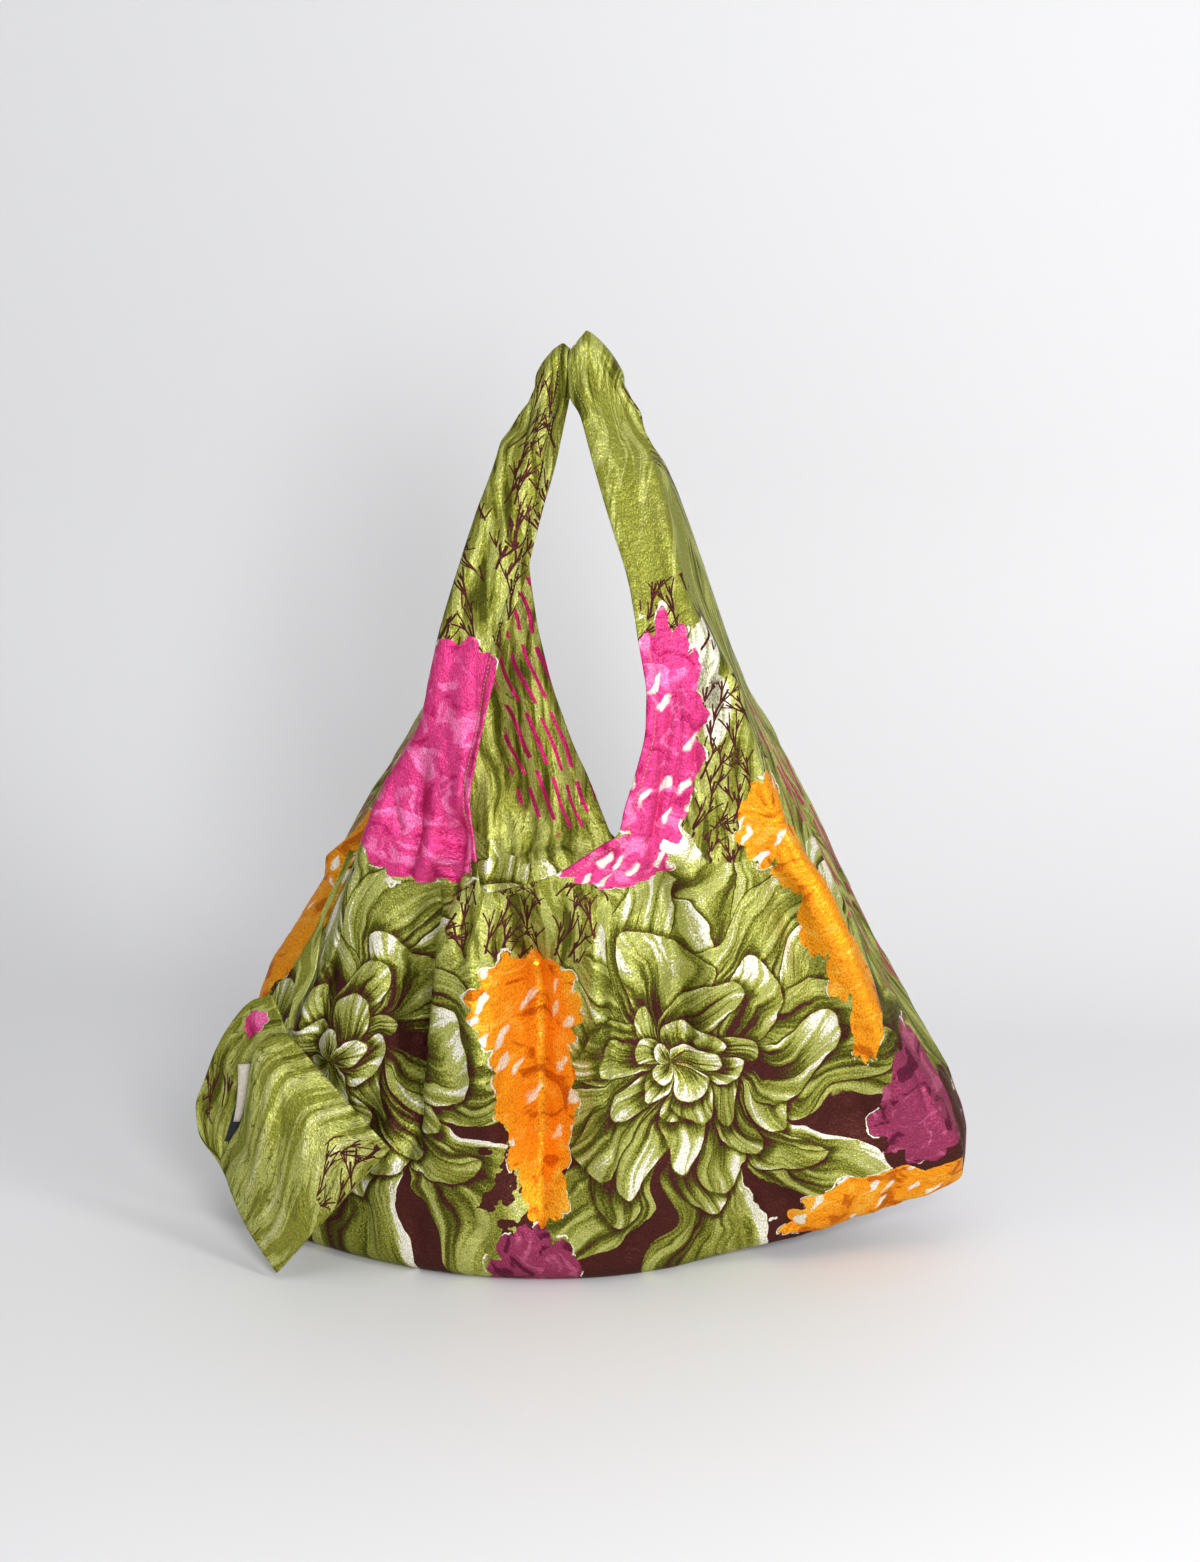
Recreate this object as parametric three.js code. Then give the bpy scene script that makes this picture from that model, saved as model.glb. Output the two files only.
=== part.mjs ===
import * as THREE from 'three';

// A fold-away shopper of thin printed cloth, standing filled out on its base
// with both handles drawn up. Millimetres, +Z up, the front faces -Y.
// Two panels, each cut in one with its halves of both handles and of both side
// gussets, meet in the plane y = 0: along the bottom seam, up the side seams
// and again across the tops of the handles. A small square pouch hangs from
// the left side seam by a narrow strip.

// Driving dimensions
const cloth = 1.6; // thickness of the modelled sheet
const labelCloth = 1; // thickness of the two labels in the pouch's mouth
const seamGap = 0.3; // air between two pieces that meet
const pouchGap = 0.6; // air between the pouch's two squares along their seams
const handleTopLeft = 628;
const handleTopRight = 637;
const archRadius = 9; // the handle's outer layer over its top
const strapGap = 5.4; // between the two layers of a handle
const gussetReach = 0.8; // the inner layer's width as a share of the strap
const foldRound = 7; // how softly panel turns into gusset
const sideVent = 400; // height where front and back handle halves part
const ventBlend = 55; // height over which the gusset swings in behind the strap
const baseRound = 14; // radius from the base up into the walls
const baseHalfLength = 250;
const baseHalfDepth = 108;
const cornerLift = 46; // the right bottom corner is drawn up by its fold
const cornerLiftStart = 60; // x where that lift begins
const cornerLiftFade = 150; // height above which the walls no longer feel it
const middleX = 8.28; // moves the origin under the middle of the whole bag
const middleY = 2.24;

// A table is rows of numbers under named columns, the first one rising. It is
// read between its rows with a smooth curve that never overshoots them.
function table(names, rows) {
  const columns = names.split(' ');
  const at = rows.map((row) => row[0]);
  const slope = (i, c) => (rows[i + 1][c] - rows[i][c]) / (at[i + 1] - at[i]);
  const tangent = (i, c) => {
    if (i === 0 || i === rows.length - 1) return slope(Math.min(i, rows.length - 2), c);
    const before = slope(i - 1, c);
    const after = slope(i, c);
    return before * after <= 0 ? 0 : (2 * before * after) / (before + after);
  };
  return (value) => {
    const v = THREE.MathUtils.clamp(value, at[0], at[at.length - 1]);
    let i = 0;
    while (i < rows.length - 2 && v > at[i + 1]) i += 1;
    const span = at[i + 1] - at[i];
    const t = (v - at[i]) / span;
    const result = {};
    columns.forEach((name, c) => {
      const ends = (1 + 2 * t) * (1 - t) ** 2 * rows[i][c] + t * t * (3 - 2 * t) * rows[i + 1][c];
      const turn = t * (1 - t) ** 2 * tangent(i, c) - t * t * (1 - t) * tangent(i + 1, c);
      result[name] = ends + span * turn;
    });
    return result;
  };
}

// Side seams, in the plane y = 0, and how far each half gusset bows outwards
const sideSeams = table('z leftX rightX leftFront leftBack rightFront rightBack', [
  [0, -250, 256, 6, 12, 2, 5],
  [50, -243, 256, 8, 22, 2, 5],
  [100, -231, 246, 6, 36, 2, 5],
  [160, -214, 217, 2, 39, 2, 4],
  [225, -191, 182, -2, 23, 2, 4],
  [262, -173, 163, -3, 16, 2, 4],
  [303, -154, 143, -3, 11, 2, 3],
  [350, -131, 120, -2, 6, 2, 2],
  [400, -110, 97, 0, 3, 0, 1],
]);

// Where the face turns into the gusset, how far the face bellies out between
// those two folds, and where along the face it bellies most
const frontFolds = table('z leftX leftY rightX rightY belly peak', [
  [0, -222, -58, 236, -14, 74, 0.41],
  [60, -222, -67, 251, -20, 74, 0.43],
  [110, -216, -73, 238, -28, 68, 0.45],
  [160, -203, -79, 218, -39, 60, 0.46],
  [225, -179, -79, 188, -52, 50, 0.47],
  [290, -154, -78, 153, -62, 41, 0.47],
  [350, -131, -76, 128, -71, 32, 0.48],
  [380, -112, -77, 117, -77, 25, 0.5],
  [416, -103, -79, 103, -81, 12, 0.5],
  [442, -98, -73, 86, -75, 7, 0.5],
  [474, -90, -63, 66, -63, 5, 0.5],
  [520, -77, -47, 52.5, -46, 4, 0.5],
  [551, -66, -35, 43, -34, 3, 0.5],
  [582, -55, -23, 35, -23, 2, 0.5],
  [605, -48, -14, 28, -14, 1, 0.5],
  [628, -40, -9, 17, -9, 0, 0.5],
]);

const backFolds = table('z leftX leftY rightX rightY belly peak', [
  [0, -214, 58, 232, 20, 62, 0.46],
  [60, -224, 70, 253, 38, 62, 0.48],
  [110, -220, 78, 240, 50, 60, 0.5],
  [160, -206, 82, 211, 58, 56, 0.5],
  [225, -190, 82, 175, 66, 48, 0.5],
  [303, -160, 79, 135, 70, 36, 0.5],
  [350, -134, 78, 112, 73, 26, 0.5],
  [390, -114, 76, 88, 76, 16, 0.5],
  [430, -104, 69, 75, 68, 8, 0.5],
  [474, -88, 56, 63, 54, 5, 0.5],
  [520, -74, 42, 49, 41, 4, 0.5],
  [560, -62, 28, 37, 26, 2, 0.5],
  [600, -49, 14, 26, 14, 1, 0.5],
  [628, -40, 9, 17, 9, 0, 0.5],
]);

// The hemmed rim of the mouth, which runs on as the inner edges of the straps
const frontHems = table('z leftX rightX', [
  [276, -62, -62],
  [282, -66, -44],
  [293, -68, -13],
  [309, -71, 11],
  [320, -72.5, 27],
  [336, -74, 30.5],
  [358, -71, 37],
  [391, -64, 43.5],
  [409, -60, 43.5],
  [443, -52, 36.5],
  [480, -41, 28],
  [512, -34, 16],
  [543, -28, 4.5],
  [585, -23, -9.5],
  [612, -22.5, -17],
  [628, -22.5, -18.5],
]);

const backHems = table('z leftX rightX', [
  [240, 20, 20],
  [244, 7, 35],
  [256, -8, 49],
  [274, -15, 58],
  [294, -22, 63],
  [320, -32, 66],
  [340, -39, 67],
  [377, -49, 64],
  [423, -56, 52],
  [463, -58.5, 38],
  [506, -47, 22],
  [540, -36, 8],
  [580, -26, -7],
  [612, -22.5, -16],
  [628, -22.5, -18.5],
]);

// Soft folds of the two faces: a line from x0, z0 to x1, z1, how far it sinks
// in (a ridge is less than nothing), and its width
const foldNames = 'x0 z0 x1 z1 depth width';
const frontCreases = namedRows(foldNames, [
  [-96, 300, -118, 60, 11, 17],
  [-86, 352, -92, 250, 6, 10],
  [-40, 262, -20, 60, 5, 26],
  [44, 330, 74, 90, 5, 18],
  [13, 288, 26, 40, -2.5, 9],
  [112, 120, 128, 24, 3, 12],
  [120, 330, 176, 150, 4, 20],
  [86, -90, 104, 190, 15, 48],
]);
const backCreases = namedRows(foldNames, [
  [-88, 300, -122, 50, 9, 20],
  [-30, 236, -44, 60, 6, 24],
  [34, 230, 52, 50, 9, 18],
  [104, 300, 150, 90, 7, 18],
]);

// Heights of the rows of points up a panel
const wallRows = [2, 6, 14, 32, 56, 82, 110, 140, 170, 200, 226];
const strapRows = [404, 412, 422, 434, 448, 466, 490, 516, 546, 576, 600];
const baseShares = [0, 0.45, 0.8];
const archTurns = [30, 60, 90];
const faceSteps = 7;
const roundSteps = 3;
const gussetSteps = 3;

function namedRows(names, rows) {
  const columns = names.split(' ');
  return rows.map((row) => Object.fromEntries(columns.map((name, c) => [name, row[c]])));
}

const smooth = (low, high, value) => THREE.MathUtils.smoothstep(value, low, high);

const panels = {
  front: {
    toward: -1,
    folds: frontFolds,
    hems: frontHems,
    creases: frontCreases,
    rimLow: 276,
    bow: { left: 'leftFront', right: 'rightFront' },
    rimRows: [250, 266, 276, 279, 284, 291, 300, 309, 318, 330, 346, 364, 384, 400],
  },
  back: {
    toward: 1,
    folds: backFolds,
    hems: backHems,
    creases: backCreases,
    rimLow: 240,
    bow: { left: 'leftBack', right: 'rightBack' },
    rimRows: [240, 243, 249, 258, 270, 284, 300, 318, 340, 364, 384, 400],
  },
};

// Depth of one long soft fold at a place on a face
function creaseDepth(crease, x, z) {
  const along = (z - crease.z0) / (crease.z1 - crease.z0);
  if (along <= 0 || along >= 1) return 0;
  const off = (x - THREE.MathUtils.lerp(crease.x0, crease.x1, along)) / crease.width;
  return crease.depth * Math.exp(-off * off) * Math.sin(Math.PI * along) ** 0.7;
}

// y of a face at x: the chord between its folds, its belly and its creases
function faceY(panel, fold, x, z) {
  const share = THREE.MathUtils.clamp((x - fold.leftX) / (fold.rightX - fold.leftX), 0, 1);
  const skew = Math.log(0.5) / Math.log(fold.peak);
  const crown = Math.max(0, Math.sin(Math.PI * share ** skew)) ** 1.3;
  const sunk = panel.creases.reduce((sum, crease) => sum + creaseDepth(crease, x, z), 0);
  const chord = THREE.MathUtils.lerp(fold.leftY, fold.rightY, share);
  const edgeCalm = smooth(0, 0.06, share) * smooth(0, 0.06, 1 - share);
  return chord + panel.toward * (fold.belly * crown - sunk * edgeCalm);
}

// The plan of half a panel at one height, from its inner edge (the middle of
// the face, or the hem of the mouth) round the fold to the edge of its gusset
function halfSection(panel, side, z) {
  const left = side === 'left';
  const fold = panel.folds(z);
  const seam = sideSeams(z);
  const foldX = left ? fold.leftX : fold.rightX;
  const foldY = left ? fold.leftY : fold.rightY;
  const low = panel.hems(panel.rimLow).leftX;
  const hem = z >= panel.rimLow ? panel.hems(z)[left ? 'leftX' : 'rightX'] : low;
  const inner = z >= panel.rimLow ? hem : low * smooth(-60, panel.rimLow, z);
  const outward = left ? -1 : 1;

  const strapEdge = new THREE.Vector2(
    THREE.MathUtils.lerp(foldX, inner, gussetReach),
    foldY - panel.toward * strapGap,
  );
  const seamEdge = new THREE.Vector2(left ? seam.leftX : seam.rightX, 0);
  const swing = smooth(sideVent, sideVent + ventBlend, z);
  const edge = seamEdge.lerp(strapEdge, swing);

  const face = (x) => new THREE.Vector2(x, faceY(panel, fold, x, z));
  const corner = new THREE.Vector2(foldX, foldY);
  const across = edge.clone().sub(corner);
  const bow = new THREE.Vector2(outward, 0)
    .multiplyScalar(seam[panel.bow[side]])
    .lerp(new THREE.Vector2(0, -panel.toward), swing);
  const gusset = (share) => corner
    .clone()
    .addScaledVector(across, share)
    .addScaledVector(bow, 4 * share * (1 - share));

  const faceRound = Math.min(foldRound, 0.3 * Math.abs(foldX - inner));
  const gussetRound = Math.min(foldRound, 0.3 * across.length()) / across.length();
  const lastX = foldX - outward * faceRound;
  const points = [];
  for (let i = 0; i <= faceSteps; i += 1) {
    points.push(face(THREE.MathUtils.lerp(inner, lastX, i / faceSteps)));
  }
  const turn = new THREE.QuadraticBezierCurve(face(lastX), corner, gusset(gussetRound));
  for (let i = 1; i <= roundSteps; i += 1) points.push(turn.getPoint(i / (roundSteps + 1)));
  for (let i = 0; i <= gussetSteps; i += 1) {
    points.push(gusset(THREE.MathUtils.lerp(gussetRound, 1, i / gussetSteps)));
  }
  return points;
}

// The lift of the right bottom corner at x, fading out up the wall
function liftAt(x, z) {
  const share = THREE.MathUtils.clamp((x - cornerLiftStart) / (256 - cornerLiftStart), 0, 1);
  const fade = Math.max(0, 1 - z / cornerLiftFade);
  return cornerLift * share ** 1.3 * fade * fade;
}

// The handle tops are tents under the point where each is drawn up
const tents = {
  left: { tip: -25, outer: 0.85, inner: 0.7 },
  right: { tip: -9, outer: 0.6, inner: 1.3 },
};

function tentDrop(side, x, z) {
  const { tip, outer, inner } = tents[side];
  const steep = x < tip === (side === 'left') ? outer : inner;
  return steep * Math.abs(x - tip) * smooth(560, 612, z);
}

// All rows of half a panel, from the bottom seam to the top of the handle
function halfRows(panel, side) {
  const ownSide = (y) => panel.toward * Math.max(panel.toward * y, seamGap / 2);
  const rows = [];
  const foot = halfSection(panel, side, 0).map((p) => new THREE.Vector2(
    p.x * (1 - baseRound / baseHalfLength),
    p.y * (1 - baseRound / baseHalfDepth),
  ));
  [...baseShares, 1].forEach((share) => {
    rows.push(foot.map((p) => new THREE.Vector3(p.x, ownSide(p.y * share), liftAt(p.x, 0))));
  });
  [...wallRows, ...panel.rimRows, ...strapRows].forEach((z) => {
    const up = Math.max(0, baseRound - z);
    const inset = baseRound - Math.sqrt(baseRound ** 2 - up ** 2);
    rows.push(halfSection(panel, side, z).map((p) => new THREE.Vector3(
      p.x * (1 - inset / baseHalfLength),
      ownSide(p.y * (1 - inset / baseHalfDepth)),
      z + liftAt(p.x, z) - tentDrop(side, p.x, z),
    )));
  });
  const top = (side === 'left' ? handleTopLeft : handleTopRight) - archRadius - cloth / 2;
  const last = halfSection(panel, side, 628);
  [0, ...archTurns].forEach((turn) => {
    const angle = THREE.MathUtils.degToRad(turn);
    rows.push(last.map((p) => new THREE.Vector3(
      p.x,
      ownSide(p.y * Math.cos(angle)),
      top + Math.abs(p.y) * Math.sin(angle) - tentDrop(side, p.x, 628),
    )));
  });
  return rows;
}

// A sheet of even thickness about a surface given as points and triangles.
// Points on the seam plane keep their thickness within it, and points on the
// base are thickened straight up and down.
function thicken(points, faces, seamed, thickness = cloth) {
  const surface = new THREE.BufferGeometry().setFromPoints(points);
  surface.setIndex(faces.flat());
  surface.computeVertexNormals();
  const normals = surface.getAttribute('normal');
  const edges = new Map();
  faces.forEach(([a, b, c]) => {
    [[a, b], [b, c], [c, a]].forEach(([from, to]) => {
      if (edges.has(`${to} ${from}`)) edges.delete(`${to} ${from}`);
      else edges.set(`${from} ${to}`, [from, to]);
    });
  });
  const outer = [];
  const inner = [];
  points.forEach((point, i) => {
    const way = new THREE.Vector3().fromBufferAttribute(normals, i);
    if (seamed && Math.abs(point.y) <= seamGap / 2 + 1e-6) {
      way.setY(0).normalize();
    }
    outer.push(point.clone().addScaledVector(way, thickness / 2));
    inner.push(point.clone().addScaledVector(way, -thickness / 2));
  });
  const count = points.length;
  const index = faces.map(([a, b, c]) => [a, b, c]);
  faces.forEach(([a, b, c]) => index.push([c + count, b + count, a + count]));
  edges.forEach(([from, to]) => {
    index.push([from, from + count, to], [to, from + count, to + count]);
  });
  const solid = new THREE.BufferGeometry().setFromPoints([...outer, ...inner]);
  solid.setIndex(index.flat());
  solid.computeVertexNormals();
  return solid;
}

// Collects points, each place once, and triangles between them
function patchwork() {
  const points = [];
  const places = new Map();
  const faces = [];
  const add = (p) => {
    const key = [p.x, p.y, p.z].map((v) => v.toFixed(2)).join(' ');
    if (!places.has(key)) {
      places.set(key, points.length);
      points.push(p);
    }
    return places.get(key);
  };
  const face = (a, b, c) => {
    if (a !== b && b !== c && c !== a) faces.push([a, b, c]);
  };
  const grid = (rows, flip) => {
    const ids = rows.map((row) => row.map(add));
    for (let r = 0; r + 1 < ids.length; r += 1) {
      for (let c = 0; c + 1 < ids[r].length; c += 1) {
        const ring = [ids[r][c], ids[r][c + 1], ids[r + 1][c + 1], ids[r + 1][c]];
        if (flip) ring.reverse();
        const across = (i) => points[ring[i]].distanceTo(points[ring[i + 2]]);
        if (across(1) < across(0)) ring.push(ring.shift());
        face(ring[0], ring[1], ring[2]);
        face(ring[0], ring[2], ring[3]);
      }
    }
  };
  return { points, faces, grid };
}

function panelGeometry(panel) {
  const work = patchwork();
  work.grid(halfRows(panel, 'left'), panel.toward < 0);
  work.grid(halfRows(panel, 'right'), panel.toward > 0);
  return thicken(work.points, work.faces, true);
}

// The pouch: two squares sewn on three sides and open at the upper left. Each
// is drawn between its four edges, with the mouth and the upper edge given as
// curves, and crowned in its middle. The mouth of the back square gapes past
// that of the front one.
const vector = (x, y, z) => new THREE.Vector3(x, y, z);
const pouchOutward = vector(-0.4, -0.76, 0.51).normalize();
const pouchSeam = pouchOutward.clone().multiplyScalar(-(cloth + pouchGap));
const lowerSlack = vector(-5, 1, -2);

const frontMouth = table('share x y z', [
  [0, -204, -89, 164],
  [0.16, -221, -91, 158],
  [0.26, -228, -92, 148],
  [0.4, -231, -92, 132],
  [0.54, -234, -91, 115],
  [0.7, -239, -88, 96],
  [0.82, -246, -85, 84],
  [1, -256, -80, 65],
]);
const backMouth = table('share x y z', [
  [0, -216, -80, 188],
  [0.1, -231, -75, 182],
  [0.22, -246, -69, 166],
  [0.36, -260, -67, 143],
  [0.5, -270, -65, 118],
  [0.64, -277, -65, 97],
  [0.76, -275, -67, 80],
  [1, -258, -73, 64],
]);
const frontUpper = table('share x y z', [
  [0, -204, -89, 164],
  [1, -127, -122, 97],
]);
const backUpper = table('share x y z', [
  [0, -216, -80, 188],
  [0.12, -211, -81, 177],
  [0.25, -203, -87, 163],
  [1, -126, -120, 96],
]);

const pouchFront = {
  mouth: frontMouth,
  upper: frontUpper,
  bottom: vector(-206, -129, 4.5),
  crown: pouchOutward.clone().multiplyScalar(9),
};
const pouchBack = {
  mouth: backMouth,
  upper: backUpper,
  bottom: pouchFront.bottom.clone().add(pouchSeam),
  crown: pouchOutward.clone().multiplyScalar(-9),
};

const placed = ({ x, y, z }) => vector(x, y, z);

// A point of a square: across from the mouth, down from the upper edge
function squarePoint(square, across, down) {
  const left = placed(square.mouth(1));
  const right = placed(square.upper(1));
  const lower = left.clone().lerp(square.bottom, across)
    .addScaledVector(lowerSlack, Math.sin(Math.PI * across));
  const acrossWay = placed(square.mouth(down)).lerp(right.clone().lerp(square.bottom, down), across);
  const downWay = placed(square.upper(across)).lerp(lower, down);
  const corners = placed(square.mouth(0)).lerp(right, across)
    .lerp(left.lerp(square.bottom, across), down);
  return acrossWay.add(downWay).sub(corners)
    .addScaledVector(square.crown, Math.sin(Math.PI * across ** 0.8) * Math.sin(Math.PI * down));
}

const steps = (count) => Array.from({ length: count + 1 }, (_, i) => i / count);

function squareGeometry(square, count) {
  const rows = steps(count).map((down) => steps(count)
    .map((across) => squarePoint(square, across, down)));
  const work = patchwork();
  work.grid(rows, false);
  return thicken(work.points, work.faces, false);
}

// The two labels hang free in the pouch's mouth, each between four corners
const labelCorners = namedRows('x y z', [
  [-241, -82, 137],
  [-227, -85.5, 140],
  [-245, -80, 95],
  [-237, -83.5, 96],
]);
const tabCorners = namedRows('x y z', [
  [-243, -77, 112],
  [-229, -81.5, 120],
  [-254, -75.5, 77],
  [-245, -79, 80],
]);

function labelGeometry(corners) {
  const [a, b, c, d] = corners.map(placed);
  const rows = steps(3).map((down) => steps(2)
    .map((across) => a.clone().lerp(b, across).lerp(c.clone().lerp(d, across), down)));
  const work = patchwork();
  work.grid(rows, false);
  return thicken(work.points, work.faces, false, labelCloth);
}

// The strip that ties the pouch to the side seam, a ribbon given by its inner
// edge and how far its outer edge stands off from it
const stripRows = namedRows('x y z outX outY outZ', [
  [-173, -4, 271, -4, -2, 1],
  [-176, -14, 261, -4, -2, 0],
  [-181, -34, 246, -4, -1, 1],
  [-184, -54, 236, -4, -1, -2],
  [-182, -79, 226, -12, 4, -5],
  [-183, -86, 212, -15, 7, -3],
  [-188, -89, 198, -11, 5, -2],
  [-194, -90, 187, -6, 3, -1],
  [-198, -90, 177, -4, 1, -1],
  [-199, -90, 168, -4, 1, 0],
]);

function stripGeometry() {
  const rows = stripRows.map((row) => steps(2).map((share) => vector(
    row.x + row.outX * share,
    row.y + row.outY * share,
    row.z + row.outZ * share,
  )));
  const work = patchwork();
  work.grid(rows, false);
  return thicken(work.points, work.faces, false);
}

const group = new THREE.Group();

function addPiece(name, geometry, colour, roughness) {
  const material = new THREE.MeshStandardMaterial({ color: colour, roughness, metalness: 0 });
  const mesh = new THREE.Mesh(geometry, material);
  mesh.name = name;
  mesh.position.set(middleX, middleY, cloth / 2);
  group.add(mesh);
}

addPiece('front_panel', panelGeometry(panels.front), 0x7d8432, 0.45);
addPiece('back_panel', panelGeometry(panels.back), 0x8a9140, 0.45);
addPiece('pouch_front', squareGeometry(pouchFront, 10), 0x7f8a35, 0.45);
addPiece('pouch_back', squareGeometry(pouchBack, 10), 0x7f8a35, 0.45);
addPiece('pouch_label', labelGeometry(labelCorners), 0xe9e2d2, 0.6);
addPiece('pouch_tab', labelGeometry(tabCorners), 0x1b1a1e, 0.6);
addPiece('seam_strip', stripGeometry(), 0x7f8a35, 0.45);

export default group;
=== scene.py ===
import math

import bpy
import numpy as np
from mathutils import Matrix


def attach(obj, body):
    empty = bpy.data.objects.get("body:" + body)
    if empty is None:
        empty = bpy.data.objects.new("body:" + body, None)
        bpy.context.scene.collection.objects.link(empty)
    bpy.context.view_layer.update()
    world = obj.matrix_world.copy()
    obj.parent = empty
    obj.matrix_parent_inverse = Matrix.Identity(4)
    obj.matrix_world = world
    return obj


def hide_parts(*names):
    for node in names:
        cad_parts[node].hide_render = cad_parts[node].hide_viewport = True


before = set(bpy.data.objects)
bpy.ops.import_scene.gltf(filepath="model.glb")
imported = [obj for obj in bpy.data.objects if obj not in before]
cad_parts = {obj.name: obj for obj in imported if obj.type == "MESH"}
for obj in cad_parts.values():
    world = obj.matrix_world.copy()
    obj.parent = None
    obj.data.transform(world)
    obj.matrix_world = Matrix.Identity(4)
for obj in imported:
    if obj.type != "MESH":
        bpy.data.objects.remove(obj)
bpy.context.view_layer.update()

# A fold-away shopping bag of thin printed satin, standing filled out on its base.
# Shapes are worked out in millimetres about the plane of the side seams, where y is 0,
# and become metres in the frame when a mesh is made.

bpy.context.scene.view_settings.view_transform = 'Standard'

view = {
    'target': (0.00828, 0.00224, 0.3278),
    'azimuth': 8,        # degrees, to the right of straight on
    'elevation': 15,
    'distance': 2.2,
    'lens': 73.5,
}


def addCamera():
    around, up = math.radians(view['azimuth']), math.radians(view['elevation'])
    away = np.array([math.sin(around) * math.cos(up), -math.cos(around) * math.cos(up), math.sin(up)])
    data = bpy.data.cameras.new('camera')
    data.lens = view['lens']
    camera = bpy.data.objects.new('camera', data)
    camera.location = np.array(view['target']) + away * view['distance']
    camera.rotation_euler = (math.pi / 2 - up, 0, around)
    bpy.context.collection.objects.link(camera)
    bpy.context.scene.camera = camera


addCamera()
print('camera placed')

# Tables and small sums


def smooth(low, high, value):
    share = np.clip((np.asarray(value, float) - low) / (high - low), 0, 1)
    return share * share * (3 - 2 * share)


def curveTable(names, rows):
    # Reads rows of numbers under named columns with a smooth curve that never overshoots.
    columns = names.split()
    data = np.array(rows, float)
    at = data[:, 0]
    slope = np.diff(data, axis=0) / np.diff(at)[:, None]
    product = slope[:-1] * slope[1:]
    total = np.where(product > 0, slope[:-1] + slope[1:], 1)
    tangent = np.vstack([slope[:1], np.where(product > 0, 2 * product / total, 0), slope[-1:]])

    def read(value):
        v = np.clip(np.asarray(value, float), at[0], at[-1])
        i = np.clip(np.searchsorted(at, v, side='right') - 1, 0, len(at) - 2)
        span = at[i + 1] - at[i]
        t = ((v - at[i]) / span)[..., None]
        ends = (1 + 2 * t) * (1 - t) ** 2 * data[i] + t * t * (3 - 2 * t) * data[i + 1]
        turn = t * (1 - t) ** 2 * tangent[i] - t * t * (1 - t) * tangent[i + 1]
        result = ends + span[..., None] * turn
        return {name: result[..., c] for c, name in enumerate(columns)}

    return read


def namedRows(names, rows):
    return [dict(zip(names.split(), row)) for row in rows]


# The two panels

bag = {
    'middle': (8.28, 2.24, 0.8),   # where the seam plane's own origin lies in the frame
    'outer': 0.8,                  # the cloth's outer face stands this far off its middle surface
    'cloth': 0.7,                  # thickness of one layer
    'hemCloth': 1.2,               # thickness where the hem is turned in
    'hemWidth': 7,
    'handleTop': {'left': 628, 'right': 637},
    'handlesMeet': -20.5,          # the x between the left handle and the right one
    'archRadius': 9,
    'clothAtTop': 0.8,
    'strapGap': 5.4,
    'gussetReach': 0.8,
    'foldRound': 7,
    'sideVent': 540,
    'ventBlend': 45,
    'tentStart': 540,
    'settleStart': 560,
    'tableTop': 628,               # where the tables of folds and hems end
    'baseRound': 14,
    'baseHalfLength': 250,
    'baseHalfDepth': 108,
    'cornerLift': 46,
    'cornerLiftStart': 60,
    'cornerLiftEnd': 256,
    'cornerLiftFade': 150,
    'seamHalfGap': 0.03,
    'faceSteps': 56,
    'roundSteps': 5,
    'gussetSteps': 22,
    'baseRows': 24,
    'footRows': 8,
    'rimRows': 44,
    'rimBand': 64,                 # the rows lie closest together this far up from the mouth's lowest point
    'rowPitch': 4,
    'archRows': 10,
}

sideSeams = curveTable('z leftX rightX leftFront leftBack rightFront rightBack', [
    [0, -250, 256, 6, 12, 2, 5],
    [50, -243, 256, 8, 22, 2, 5],
    [100, -231, 246, 6, 36, 2, 5],
    [160, -214, 217, 2, 39, 2, 4],
    [225, -191, 182, -2, 23, 2, 4],
    [262, -173, 163, -3, 16, 2, 4],
    [303, -154, 143, -3, 11, 2, 3],
    [350, -131, 120, -2, 6, 2, 2],
    [400, -110, 97, 0, 3, 0, 1],
    [440, -98, 83, 0, 1, 0, 0],
    [480, -86, 67, 0, 0, 0, 0],
    [520, -72, 52, 0, 0, 0, 0],
    [560, -59, 39, 0, 0, 0, 0],
    [590, -56, 34, 0, 0, 0, 0],
])

# Where the face turns into the gusset, and how far and where the face bellies out
frontFolds = curveTable('z leftX leftY rightX rightY belly peak', [
    [0, -222, -58, 236, -14, 74, 0.41],
    [60, -222, -67, 251, -20, 74, 0.43],
    [110, -216, -73, 231, -30, 68, 0.45],
    [160, -203, -79, 208, -41, 60, 0.46],
    [225, -179, -79, 177, -54, 50, 0.47],
    [290, -154, -78, 144, -64, 41, 0.47],
    [350, -131, -76, 121, -72, 32, 0.48],
    [380, -112, -77, 112, -77, 25, 0.5],
    [416, -103, -79, 103, -81, 12, 0.5],
    [442, -98, -73, 86, -75, 7, 0.5],
    [474, -90, -63, 66, -63, 5, 0.5],
    [520, -77, -47, 52.5, -46, 4, 0.5],
    [551, -68, -35, 43.5, -34, 3, 0.5],
    [582, -66, -23, 39, -23, 2, 0.5],
    [605, -60.5, -14, 35, -14, 1, 0.5],
    [616, -56.5, -11, 31.5, -11, 0, 0.5],
    [622, -52, -10, 28, -10, 0, 0.5],
    [628, -45, -9, 18, -9, 0, 0.5],
])
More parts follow.
